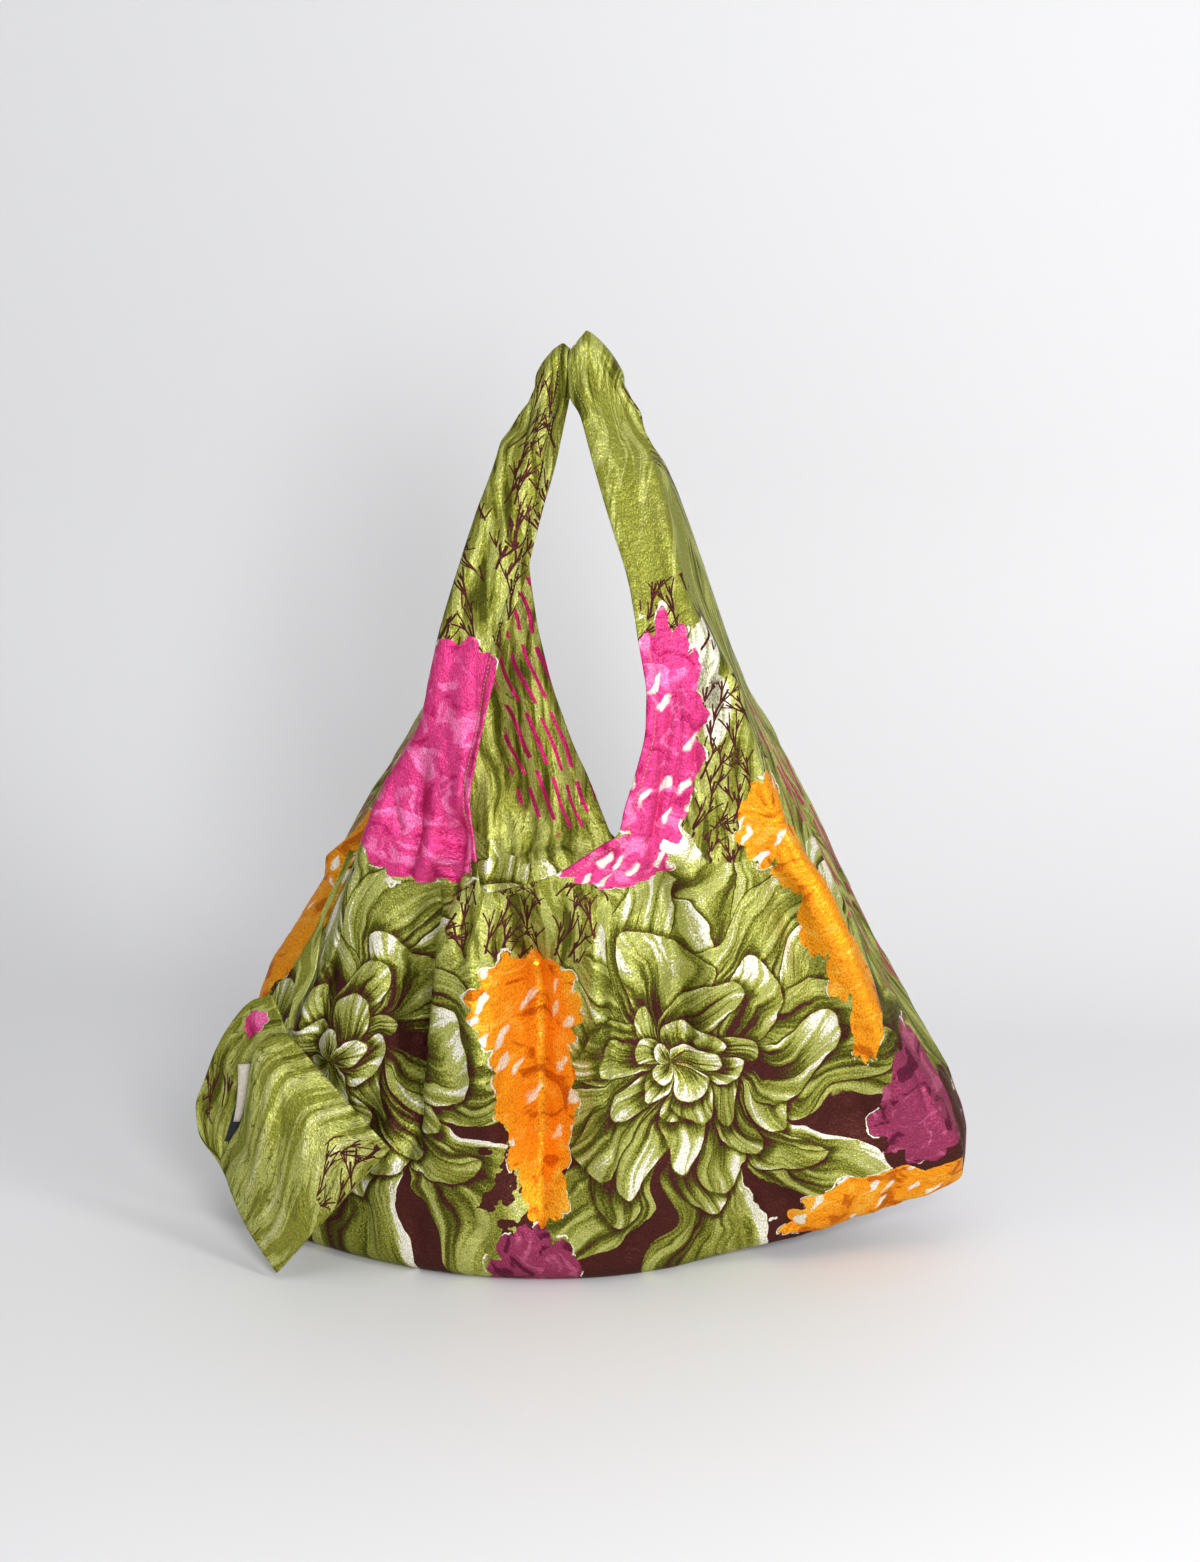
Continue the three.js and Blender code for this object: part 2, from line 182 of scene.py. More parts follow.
backFolds = curveTable('z leftX leftY rightX rightY belly peak', [
    [0, -214, 58, 232, 20, 62, 0.46],
    [60, -224, 70, 253, 38, 62, 0.48],
    [110, -220, 78, 240, 50, 60, 0.5],
    [160, -206, 82, 211, 58, 56, 0.5],
    [225, -190, 82, 175, 66, 48, 0.5],
    [303, -160, 79, 135, 70, 36, 0.5],
    [350, -134, 78, 112, 73, 26, 0.5],
    [390, -114, 76, 88, 76, 16, 0.5],
    [430, -104, 69, 75, 68, 8, 0.5],
    [474, -88, 56, 63, 54, 5, 0.5],
    [520, -74, 42, 49, 41, 4, 0.5],
    [560, -66, 28, 36, 26, 2, 0.5],
    [600, -60, 14, 31, 14, 1, 0.5],
    [616, -56.5, 11, 29, 11, 0, 0.5],
    [622, -52, 10, 25, 10, 0, 0.5],
    [628, -45, 9, 18, 9, 0, 0.5],
])

# The hemmed rim of the mouth, which runs on as the inner edges of the straps
frontHems = curveTable('z leftX rightX', [
    [276, -62, -62],
    [282, -66, -44],
    [293, -68, -13],
    [309, -71, 11],
    [320, -72.5, 27],
    [336, -74, 30.5],
    [358, -71, 37],
    [391, -64, 43.5],
    [409, -60, 43.5],
    [443, -52, 36.5],
    [480, -41, 28],
    [512, -34, 16],
    [543, -28, 4.5],
    [585, -23, -10],
    [604, -21.6, -17.6],
    [628, -21, -20.2],
])
backHems = curveTable('z leftX rightX', [
    [240, 20, 20],
    [244, 7, 35],
    [256, -8, 49],
    [274, -15, 58],
    [294, -22, 63],
    [320, -32, 66],
    [340, -39, 67],
    [377, -49, 64],
    [423, -56, 52],
    [463, -58.5, 38],
    [506, -47, 22],
    [540, -36, 8],
    [580, -26, -7],
    [604, -21.6, -16.6],
    [628, -21, -20.2],
])

# Soft folds of the faces: a line from x0, z0 to x1, z1, how far it sinks in, and its width
foldNames = 'x0 z0 x1 z1 depth width'
frontFoldLines = namedRows(foldNames, [
    [-96, 300, -118, 60, 11, 17],
    [-86, 352, -92, 250, 6, 10],
    [-40, 262, -20, 60, 5, 26],
    [44, 330, 74, 90, 5, 18],
    [13, 288, 26, 40, -2.5, 9],
    [112, 120, 128, 24, 3, 12],
    [120, 330, 176, 150, 4, 20],
    [86, -90, 104, 190, 15, 48],
])
backFoldLines = namedRows(foldNames, [
    [-88, 300, -122, 50, 9, 20],
    [-30, 236, -44, 60, 6, 24],
    [34, 230, 52, 50, 9, 18],
    [104, 300, 150, 90, 7, 18],
])

panels = {
    'front': {
        'toward': -1,
        'folds': frontFolds,
        'hems': frontHems,
        'foldLines': frontFoldLines,
        'rimLow': 276,
        'seed': 11,
        'bow': {'left': 'leftFront', 'right': 'rightFront'},
    },
    'back': {
        'toward': 1,
        'folds': backFolds,
        'hems': backHems,
        'foldLines': backFoldLines,
        'rimLow': 240,
        'seed': 31,
        'bow': {'left': 'leftBack', 'right': 'rightBack'},
    },
}

# The tops of the handles are tents under the point where each is drawn up
tents = {
    'left': {'tip': -25, 'outer': 0.4, 'inner': 0.7, 'round': 0.043, 'reach': 20},
    'right': {'tip': -9, 'outer': 0.5, 'inner': 1.3, 'round': 0.028, 'reach': 26},
}


def mixed(a, b, share):
    return a + (b - a) * share


def foldDepth(line, x, z):
    along = (z - line['z0']) / (line['z1'] - line['z0'])
    inside = (along > 0) & (along < 1)
    off = (x - mixed(line['x0'], line['x1'], along)) / line['width']
    swell = smooth(0, 0.4, along) * smooth(0, 0.4, 1 - along)
    return np.where(inside, line['depth'] * np.exp(-off * off) * swell, 0)


def faceY(panel, fold, x, z):
    share = np.clip((x - fold['leftX']) / (fold['rightX'] - fold['leftX']), 0, 1)
    skew = math.log(0.5) / np.log(fold['peak'])
    crown = np.maximum(0, np.sin(np.pi * share ** skew)) ** 1.3
    sunk = sum(foldDepth(line, x, z) for line in panel['foldLines'])
    calm = smooth(0, 0.06, share) * smooth(0, 0.06, 1 - share)
    chord = mixed(fold['leftY'], fold['rightY'], share)
    return chord + panel['toward'] * (fold['belly'] * crown - sunk * calm)


def halfSections(panel, side, z):
    # Plans of half a panel at the heights z, from its inner edge to the edge of its gusset.
    left, outward, toward = side == 'left', -1 if side == 'left' else 1, panel['toward']
    z = np.asarray(z, float)[:, None]
    fold, seam = panel['folds'](z), sideSeams(z)
    foldX, foldY = (fold['leftX'], fold['leftY']) if left else (fold['rightX'], fold['rightY'])
    low = float(panel['hems'](panel['rimLow'])['leftX'])
    hem = panel['hems'](z)['leftX' if left else 'rightX']
    inner = np.where(z >= panel['rimLow'], hem, low * smooth(-60, panel['rimLow'], z))

    swing = smooth(bag['sideVent'], bag['sideVent'] + bag['ventBlend'], z)
    edgeX = mixed(seam['leftX' if left else 'rightX'], mixed(foldX, inner, bag['gussetReach']), swing)
    edgeY = (foldY - toward * bag['strapGap']) * swing
    acrossX, acrossY = edgeX - foldX, edgeY - foldY
    bowX = outward * seam[panel['bow'][side]] * (1 - swing)
    bowY = -toward * swing

    def gusset(share):
        bow = 4 * share * (1 - share)
        return foldX + acrossX * share + bowX * bow, foldY + acrossY * share + bowY * bow

    length = np.hypot(acrossX, acrossY)
    faceRound = np.minimum(bag['foldRound'], 0.3 * np.abs(foldX - inner))
    gussetRound = np.minimum(bag['foldRound'], 0.3 * length) / length
    lastX = foldX - outward * faceRound

    share = np.linspace(0, 1, bag['faceSteps'] + 1)
    faceX = mixed(inner, lastX, share)
    face = faceX, faceY(panel, fold, faceX, z)
    t = np.linspace(0, 1, bag['roundSteps'] + 2)[1:-1]
    start, end = (lastX, faceY(panel, fold, lastX, z)), gusset(gussetRound)
    turn = [(1 - t) ** 2 * a + 2 * t * (1 - t) * b + t * t * c
            for a, b, c in zip(start, (foldX, foldY), end)]
    side = gusset(mixed(gussetRound, 1, np.linspace(0, 1, bag['gussetSteps'] + 1)))
    return [np.hstack([a, b, c]) for a, b, c in zip(face, turn, side)]


def liftAt(x, z):
    start, end = bag['cornerLiftStart'], bag['cornerLiftEnd']
    share = np.clip((x - start) / (end - start), 0, 1)
    fade = np.maximum(0, 1 - z / bag['cornerLiftFade'])
    return bag['cornerLift'] * share ** 1.3 * fade * fade


def tentDrop(side, x, z):
    tent = tents[side]
    onOuterSlope = (x < tent['tip']) == (side == 'left')
    away = np.abs(x - tent['tip'])
    rounding = tent['round'] * np.minimum(away, tent['reach']) ** 2
    drop = np.where(onOuterSlope, tent['outer'] * away + rounding, tent['inner'] * away)
    return drop * smooth(bag['tentStart'], bag['tableTop'], z)


def rowHeights(panel):
    # Heights of the rows of points above the base, closest together along the rim.
    foot, low, top = bag['baseRound'], panel['rimLow'], bag['tableTop']
    high = low + bag['rimBand']
    turn = np.linspace(math.pi / 2, 0, bag['footRows'])
    return np.concatenate([
        foot * (1 - np.sin(turn)),
        np.linspace(foot, low, int((low - foot) / bag['rowPitch']) + 1)[1:],
        np.linspace(low, high, bag['rimRows'])[1:],
        np.linspace(high, top, int((top - high) / bag['rowPitch']) + 1)[1:],
    ])


def halfRows(panel, side):
    # Points of half a panel from the bottom seam to the top of the handle, row by row.
    toward, radius, tableTop = panel['toward'], bag['baseRound'], bag['tableTop']

    def ownSide(y):
        return toward * np.maximum(toward * y, bag['seamHalfGap'])

    footX, footY = halfSections(panel, side, [0])
    footX = footX * (1 - radius / bag['baseHalfLength'])
    footY = footY * (1 - radius / bag['baseHalfDepth'])
    shares = np.linspace(0, 1, bag['baseRows'] + 1)[:-1, None]
    baseX = footX + 0 * shares
    base = np.stack([baseX, ownSide(footY * shares), liftAt(baseX, 0)], -1)

    z = rowHeights(panel)
    x, y = halfSections(panel, side, z)
    up = np.maximum(0, radius - z)
    inset = (radius - np.sqrt(radius ** 2 - up ** 2))[:, None]
    x = x * (1 - inset / bag['baseHalfLength'])
    y = y * (1 - inset / bag['baseHalfDepth'])
    top = bag['handleTop'][side] - bag['archRadius'] - bag['clothAtTop']
    z = z[:, None] + 0 * x
    settled = (tableTop - top) * smooth(bag['settleStart'], tableTop, z)
    wall = np.stack([x, ownSide(y), z - settled + liftAt(x, z) - tentDrop(side, x, z)], -1)

    x, y = halfSections(panel, side, [tableTop])
    angle = np.radians(np.linspace(0, 90, bag['archRows']))[:, None]
    height = top + np.abs(y) * np.sin(angle) - tentDrop(side, x, tableTop)
    arch = np.stack([x + 0 * angle, ownSide(y * np.cos(angle)), height], -1)
    return np.concatenate([base, wall, arch])


def along(points):
    # Length along each row of points, from its first one.
    steps = np.linalg.norm(np.diff(points, axis=1), axis=2)
    return np.hstack([np.zeros((len(points), 1)), np.cumsum(steps, axis=1)])


def clothPlaces(halves):
    # Flat-cloth millimetres of both halves: across from the middle, and up from the base.
    baseRows, places, steps = bag['baseRows'], {}, {}
    for side, points in halves.items():
        across = along(points)
        across[:baseRows] = across[baseRows]
        start = points[:, :1, 0].copy()
        start[:baseRows] = start[baseRows]
        places[side] = start + across * (-1 if side == 'left' else 1)
        mid = points[:, : bag['faceSteps'] // 2]
        steps[side] = np.linalg.norm(np.diff(mid, axis=0), axis=2).mean(axis=1)
    shared = (steps['left'] + steps['right']) / 2
    result = {}
    for side, points in halves.items():
        z = points[:-1, 0, 2]
        step = np.where(z < drape['strapsPart'], shared, steps[side])
        up = np.concatenate([[0], np.cumsum(step)])
        up -= up[baseRows + bag['footRows'] - 1] - bag['baseRound']
        result[side] = np.stack([places[side], up[:, None] + 0 * places[side]], -1)
    return result


def gridFaces(ids, flip):
    a, b, c, d = ids[:-1, :-1], ids[:-1, 1:], ids[1:, 1:], ids[1:, :-1]
    ring = [a, d, c, b] if flip else [a, b, c, d]
    return np.stack([part.ravel() for part in ring], -1)


def welded(points):
    # Numbers the points, each place once.
    keys = np.round(points * 200).astype(np.int64)
    _, first, inverse = np.unique(keys, axis=0, return_index=True, return_inverse=True)
    return first, inverse.ravel()


def pointNormals(points, faces):
    a, b, c, d = (points[faces[:, i]] for i in range(4))
    normal = np.cross(c - a, d - b)
    total = np.zeros_like(points)
    for i in range(4):
        np.add.at(total, faces[:, i], normal)
    return total / np.maximum(np.linalg.norm(total, axis=1, keepdims=True), 1e-9)


def borderOf(faces):
    # Directed edges that only one face has.
    edges = np.concatenate([faces[:, [i, (i + 1) % 4]] for i in range(4)])
    edges = edges[edges[:, 0] != edges[:, 1]]
    both = {tuple(e) for e in edges.tolist()}
    return np.array([e for e in edges.tolist() if (e[1], e[0]) not in both])


def addMesh(name, vertices, edges, faces):
    mesh = bpy.data.meshes.new(name)
    mesh.from_pydata(vertices, edges, faces)
    mesh.polygons.foreach_set('use_smooth', np.ones(len(faces), bool))
    piece = bpy.data.objects.new(name, mesh)
    bpy.context.collection.objects.link(piece)
    return piece


def makeSheet(name, points, faces, places, outer, inner):
    # A closed sheet about a surface: outer and inner are how far its two faces stand off.
    normals = pointNormals(points, faces)
    count = len(points)
    outer, inner = np.broadcast_to(outer, count)[:, None], np.broadcast_to(inner, count)[:, None]
    vertices = np.concatenate([points + normals * outer, points + normals * inner])
    rim = borderOf(faces)
    polygons = np.concatenate([
        faces,
        faces[:, ::-1] + count,
        np.stack([rim[:, 0], rim[:, 0] + count, rim[:, 1] + count, rim[:, 1]], -1),
    ])
    corners = [list(dict.fromkeys(p)) for p in polygons.tolist()]
    corners = [p for p in corners if len(p) > 2]
    piece = addMesh(name, ((vertices + np.array(bag['middle'])) / 1000).tolist(), [], corners)
    mesh = piece.data
    layer = mesh.uv_layers.new(name='cloth')
    ids = np.empty(len(mesh.loops), np.int64)
    mesh.loops.foreach_get('vertex_index', ids)
    layer.data.foreach_set('uv', (np.concatenate([places, places])[ids] / 1000).ravel())
    mesh.validate()
    mesh.update()
    return piece


# The drape: creases laid on the flat cloth, and loose waves that run down it


def ripple(across, up, seed):
    # Smooth noise, about -0.7 to 0.7, one wave to two units.
    turns = np.random.default_rng(seed).uniform(0, 2 * np.pi, (128, 128))
    i, j = np.floor(across).astype(int), np.floor(up).astype(int)
    f, g = across - i, up - j
    ease = [t * t * t * (t * (6 * t - 15) + 10) for t in (f, g)]

    def corner(di, dj):
        turn = turns[(i + di) % 128, (j + dj) % 128]
        return np.cos(turn) * (f - di) + np.sin(turn) * (g - dj)

    low = mixed(corner(0, 0), corner(1, 0), ease[0])
    high = mixed(corner(0, 1), corner(1, 1), ease[0])
    return mixed(low, high, ease[1])


drape = {
    'strapMiddles': (-85, 75),
    'strapStart': (330, 470),      # up the flat cloth, where the face turns into the straps
    'strapsPart': 400,             # above it each strap's flat length is its own
    'onStraps': {'wave': 0.8, 'line': 0.85, 'crumple': 0.4, 'fold': 0.8},   # how much of each dies away there
    'wave': 5.2,          # height of the loose waves, in millimetres
    'waveBreadth': 38,    # their breadth low down; they narrow towards the straps
    'waveLength': 130,
    'line': 2.6,          # depth of the thin creases between them
    'lineBreadth': 30,
    'lineLength': 110,
    'lineWidth': 0.1,
    'lineSpots': (40, 60),
    'lineSpotEdge': (-0.12, 0.25),
    'crumple': 1.1,
    'crumpleAcross': 13,
    'crumpleUp': 22,
    'strap': 2.6,         # height of the long creases of the straps
    'strapBreadth': 21,
    'strapLength': 210,
    'gather': 3.2,        # and of the folds at their tops
    'gatherTurns': 5.5,
    'gatherLength': 110,
    'gatherFade': (4, 26, 50, 130),
    'pucker': 0.8,        # along the sewn hems
    'puckerPitch': 7,
    'puckerReach': 9,
    'hemRoll': 0.45,
    'hemHollow': 2.5,
    'creases': 1.55,      # how far the creases listed below are deepened
    'creaseLimit': 3,     # their greatest depth at the rim, and how it grows inwards
    'creaseGrowth': 0.8,
    'rimCalm': 6,
    'foldCalm': 6,        # in columns of points, about the fold from face to gusset
    'crowded': (-225, 150, 100),   # by the pouch and its strip the cloth stands out no further than this
    'crowdedHeight': 1.2,
    'crowdedRise': (60, 30),
    'calmSeam': 14,       # all of it dies away towards the seams and the base
    'calmTop': 6,
    'calmTopStart': (540, 600),
    'calmBase': 26,
}

# A crease from x0, y0 to x1, y1 on the flat cloth: how deep it sinks, and its breadth on either side
creaseNames = 'x0 y0 x1 y1 bend depth left right'
frontCreases = namedRows(creaseNames, [
    [-99, 322, -124, 56, 3, 15, 17, 4.5],
    [-84, 310, -111, 80, 3, -6, 7, 17],
    [10, 330, 29, 4, -1, -7, 10, 2.5],
    [18, 320, 38, 10, -1, 4, 3, 11],
    [-38, 296, -24, 20, 4, 21, 16, 14],
    [-66, 300, -62, 110, -3, -6, 13, 12],
    [-66, 262, -54, 60, 0, -5, 11, 11],
    [50, 340, 84, 130, 3, 9, 11, 5.5],
    [66, 350, 102, 170, 2, -5, 7, 12],
    [64, 460, 48, 300, 0, 4, 6, 4],
    [82, 450, 72, 300, 0, 3.6, 7, 4.5],
    [112, 136, 132, -4, 1, 4.5, 9, 5],
    [-65, 460, -78, 288, 0, 4, 5, 3],
    [-84, 360, -93, 258, 0, 8, 8, 4.5],
    [-108, 410, -124, 292, 2, 4, 10, 7],
    [138, 350, 250, 60, 5, -6, 14, 8],
    [118, 336, 222, 58, 5, 6, 15, 10],
    [-168, 272, -206, 110, -4, 6, 12, 8],
    [-146, 210, -158, 50, 2, 5, 17, 10],
    [172, 190, 196, 24, 2, 4.5, 15, 9],
    [-152, 60, -150, -6, 0, 4, 8, 5],
    [-66, 52, -62, -6, 0, 4.3, 7, 5],
    [38, 48, 34, -6, 0, 4.3, 6, 6],
    [88, 60, 94, -6, 0, 4, 8, 5],
    [150, 56, 158, -6, 0, 4, 7, 6],
])
backCreases = namedRows(creaseNames, [
    [-58, 490, -28, 262, 3, 6, 8, 5],
    [-78, 460, -64, 240, -2, 6, 9, 6],
    [-36, 410, -4, 250, 3, 5, 7, 7],
    [-96, 360, -120, 60, 4, 12, 8, 18],
    [26, 310, 46, 50, -3, 10, 20, 8],
    [64, 430, 84, 230, 2, 6, 8, 5],
    [98, 340, 154, 70, 5, 8, 9, 17],
    [-30, 240, -46, 40, 2, 7, 17, 10],
    [-160, 240, -194, 50, -3, 6, 9, 15],
    [176, 250, 210, 40, 3, 5, 15, 9],
    [-104, 62, -100, -6, 0, 2.4, 7, 5],
    [4, 58, 8, -6, 0, 2.2, 6, 6],
    [110, 58, 114, -6, 0, 2.4, 8, 5],
    [-238, 304, -300, 157, 0, -9, 7, 7],
    [-219, 298, -282, 150, 0, 6, 5, 5],
])
panels['front']['creases'] = frontCreases
panels['back']['creases'] = backCreases


def creaseDepth(row, places):
    start = np.array([row['x0'], row['y0']], float)
    way = np.array([row['x1'], row['y1']]) - start
    length = np.linalg.norm(way)
    share = (places - start) @ way / length ** 2
    off = (places - start) @ np.array([-way[1], way[0]]) / length
    off = off - row['bend'] * np.sin(np.pi * np.clip(share, 0, 1))
    reach = np.abs(off) / np.where(off < 0, row['left'], row['right'])
    swell = smooth(0, 0.3, share) * smooth(0, 0.3, 1 - share)
    return row['depth'] * np.exp(0.2 - np.sqrt(reach ** 2 + 0.04)) * swell


def gatheredWaves(u, v, breadth, length, seed):
    # Waves that run together towards the two straps.
    narrowing = 1 - 0.58 * smooth(60, 420, v)
    left, right = (ripple((u - middle) / (breadth * narrowing) + 20 * i, v / length, seed)
                   for i, middle in enumerate(drape['strapMiddles']))
    return mixed(left, right, smooth(-45, 45, u))


def reliefOf(panel, points, flat, lanes, rim, seed):
    # How far the cloth stands out from its smooth shape, in millimetres.
    u, v = flat.T
    d = drape
    strap = smooth(*d['strapStart'], v)
    rest = {name: 1 - share * strap for name, share in d['onStraps'].items()}
    wave = d['wave'] * gatheredWaves(u, v, d['waveBreadth'], d['waveLength'], seed) * rest['wave']
    line = gatheredWaves(u, v, d['lineBreadth'], d['lineLength'], seed + 1) / d['lineWidth']
    spotX, spotY = d['lineSpots']
    where = smooth(*d['lineSpotEdge'], ripple(u / spotX + 3, v / spotY, seed + 2))
    line = d['line'] * np.exp(-line ** 2) * where * rest['line']
    crumple = d['crumple'] * ripple(u / d['crumpleAcross'], v / d['crumpleUp'], seed + 3) * rest['crumple']
    lengthwise = d['strap'] * ripple(lanes / d['strapBreadth'], v / d['strapLength'], seed + 4) * strap
    pucker = ripple((u + v) / d['puckerPitch'], (u - v) / d['puckerPitch'], seed + 6)
    pucker = d['pucker'] * pucker * np.exp(-rim / d['puckerReach'])
    hem = hemRoll(rim, bag['hemWidth'])
    sunk = sum(creaseDepth(row, flat) for row in panel['creases'])
    limit = d['creaseLimit'] + d['creaseGrowth'] * rim
    sunk = np.clip(d['creases'] * sunk, -limit, limit) * smooth(0, d['rimCalm'], rim)
    fromFold = (np.abs(lanes) - bag['faceSteps'] - 3) / d['foldCalm']
    atFold = 1 - d['onStraps']['fold'] * strap * np.exp(-fromFold ** 2)
    height = (wave + crumple + lengthwise + gather(points, seed) - line) * atFold
    height = height + pucker + d['hemRoll'] * hem - sunk
    x, y, reach = d['crowded']
    breadth, rise = d['crowdedRise']
    free = smooth(0, breadth, np.hypot(u - x, v - y) - reach)
    height = np.minimum(height, d['crowdedHeight'] + rise * free)
    calm = mixed(d['calmSeam'], d['calmTop'], smooth(*d['calmTopStart'], points[:, 2]))
    return height * smooth(0.3, calm, np.abs(points[:, 1])) * smooth(1, d['calmBase'], points[:, 2])


def hemRoll(distance, width):
    # A sewn hem's section: round over its width, and a hollow that dies away beside it.
    hollow = -np.exp(-(distance - width) / drape['hemHollow'])
    return np.where(distance < width, np.sin(np.pi * distance / width), hollow)


def gather(points, seed):
    # Folds that spread down from the two places where the handles are drawn up.
    x, _, z = points.T
    near, full, thinning, gone = drape['gatherFade']
    total = 0
    for side, tent in tents.items():
        across, down = x - tent['tip'], bag['handleTop'][side] + 6 - z
        turn, away = np.arctan2(across, down), np.hypot(across, down)
        own = (x < bag['handlesMeet']) == (side == 'left')
        ownSeed = seed + (7 if side == 'left' else 8)
        fold = ripple(turn * drape['gatherTurns'] + 9, away / drape['gatherLength'], ownSeed)
        total = total + fold * own * smooth(near, full, away) * (1 - smooth(thinning, gone, away))
    return drape['gather'] * total


def hemDistance(places, line):
    # Distance in flat-cloth millimetres from each place to a line of places.
    best = np.full(len(places), 1e9)
    for start, end in zip(line[:-1], line[1:]):
        way = end - start
        share = np.clip(((places - start) @ way) / max(way @ way, 1e-9), 0, 1)
        best = np.minimum(best, np.linalg.norm(places - start - share[:, None] * way, axis=1))
    return best


def makePanel(name, which):
    # A panel's piece, with its surface and each point's distance from the hemmed edge.
    panel = panels[which]
    halves = {side: halfRows(panel, side) for side in ('left', 'right')}
    places = clothPlaces(halves)
    rows, columns = halves['left'].shape[:2]
    points = np.concatenate([halves[s].reshape(-1, 3) for s in ('left', 'right')])
    flat = np.concatenate([places[s].reshape(-1, 2) for s in ('left', 'right')])
    first, inverse = welded(points)
    ids = inverse.reshape(2, rows, columns)
    faces = np.concatenate([
        gridFaces(ids[0], panel['toward'] < 0),
        gridFaces(ids[1], panel['toward'] > 0),
    ])
    lanes = np.concatenate([np.tile(np.arange(columns) * sign, rows) for sign in (-1, 1)])
    points, flat, lanes = points[first], flat[first], lanes[first]
    rimRow = bag['baseRows'] + int(np.argmax(rowHeights(panel) >= panel['rimLow']))
    hemIds = np.concatenate([ids[0][rimRow:, 0][::-1], ids[1][rimRow + 1:, 0]])
    distance = hemDistance(flat, flat[hemIds])
    inner = bag['outer'] - np.where(distance < bag['hemWidth'], bag['hemCloth'], bag['cloth'])
    relief = reliefOf(panel, points, flat, lanes, distance, panel['seed'])
    points = points + pointNormals(points, faces) * relief[:, None]
    piece = makeSheet(name, points, faces, flat, bag['outer'], inner)
    return piece, points, faces, distance


front, *frontGrid = makePanel('front_cloth', 'front')
back, *backGrid = makePanel('back_cloth', 'back')
print('panels made', len(front.data.polygons), len(back.data.polygons))

# The pouch

pouchOutward = np.array([-0.4, -0.76, 0.51])
pouchOutward /= np.linalg.norm(pouchOutward)
pouch = {
    'seam': 1.0,           # how far the back square lies behind the front one at their seams
    'steps': 56,
    'slack': (-5, 1, -2),
    'halfCloth': 0.35,
    'hemWidth': 7,
    'hemRoll': 0.5,
    'wave': 2.6,
    'waveBreadth': 15,
    'waveLength': 38,
    'crumple': 1.1,
    'crumpleAcross': 8,
    'crumpleDown': 12,
    'calmSeam': 9,
    'calmHem': 12,
}

frontMouth = curveTable('share x y z', [
    [0, -204, -89, 164],
    [0.16, -221, -91, 158],
    [0.26, -228, -92, 148],
    [0.4, -231, -92, 132],
    [0.54, -234, -91, 115],
    [0.7, -239, -88, 96],
    [0.82, -246, -85, 84],
    [1, -256, -80, 65],
])
backMouth = curveTable('share x y z', [
    [0, -216, -80, 188],
    [0.1, -231, -75, 182],
    [0.22, -246, -69, 166],
    [0.36, -260, -67, 143],
    [0.5, -270, -65, 118],
    [0.64, -277, -65, 97],
    [0.76, -275, -67, 80],
    [1, -257, -77.5, 65],
])
frontUpper = curveTable('share x y z', [
    [0, -204, -89, 164],
    [1, -127, -122, 97],
])
backUpper = curveTable('share x y z', [
    [0, -216, -80, 188],
    [0.12, -211, -81, 177],
    [0.25, -203.6, -88, 163.4],
    [1, -126.6, -121, 96.4],
])


def asPoint(read, share):
    row = read(share)
    return np.stack([row['x'], row['y'], row['z']], -1)


def squarePoints(square):
    # Points of one square of the pouch, row by row, drawn between its four edges.
    steps = np.linspace(0, 1, pouch['steps'] + 1)
    across, down = np.meshgrid(steps, steps)
    a, d = across[..., None], down[..., None]
    left, right = asPoint(square['mouth'], 1.0), asPoint(square['upper'], 1.0)
    bottom = square['bottom']
    lower = mixed(left, bottom, a) + np.array(pouch['slack']) * np.sin(np.pi * a)
    acrossWay = mixed(asPoint(square['mouth'], down), mixed(right, bottom, d), a)
    downWay = mixed(asPoint(square['upper'], across), lower, d)
    corners = mixed(mixed(asPoint(square['mouth'], 0.0), right, a), mixed(left, bottom, a), d)
    crown = square['crown'] * pouchOutward * np.sin(np.pi * a ** 0.8) * np.sin(np.pi * d)
    return acrossWay + downWay - corners + crown


pouchBottom = np.array([-206, -129, 4.5])
pouchSquares = {
    'pouch_front_cloth': {
        'mouth': frontMouth,
        'upper': frontUpper,
        'bottom': pouchBottom,
        'crown': 9,
        'seed': 51,
        'creases': namedRows(creaseNames, [
            [14, -2, 40, -112, 5, 4.5, 6, 10],
            [32, -4, 66, -112, -4, -3, 8, 8],
            [5, -26, 26, -96, 3, 2.6, 4, 6],
            [52, -10, 88, -104, 4, 3.2, 13, 7],
            [84, -12, 66, -60, 2, 2, 7, 5],
            [96, -20, 104, -80, 2, 1.8, 7, 5],
        ]),
    },
    'pouch_back_cloth': {
        'mouth': backMouth,
        'upper': backUpper,
        'bottom': pouchBottom - pouchOutward * pouch['seam'],
        'crown': -9,
        'seed': 61,
        'creases': namedRows(creaseNames, [
            [6, -18, 34, -30, 2, 3, 5, 7],
            [6, -40, 40, -50, -2, 3, 7, 5],
            [4, -64, 44, -72, 2, 2.6, 5, 6],
            [6, -88, 40, -92, 1, 2, 5, 5],
        ]),
    },
}


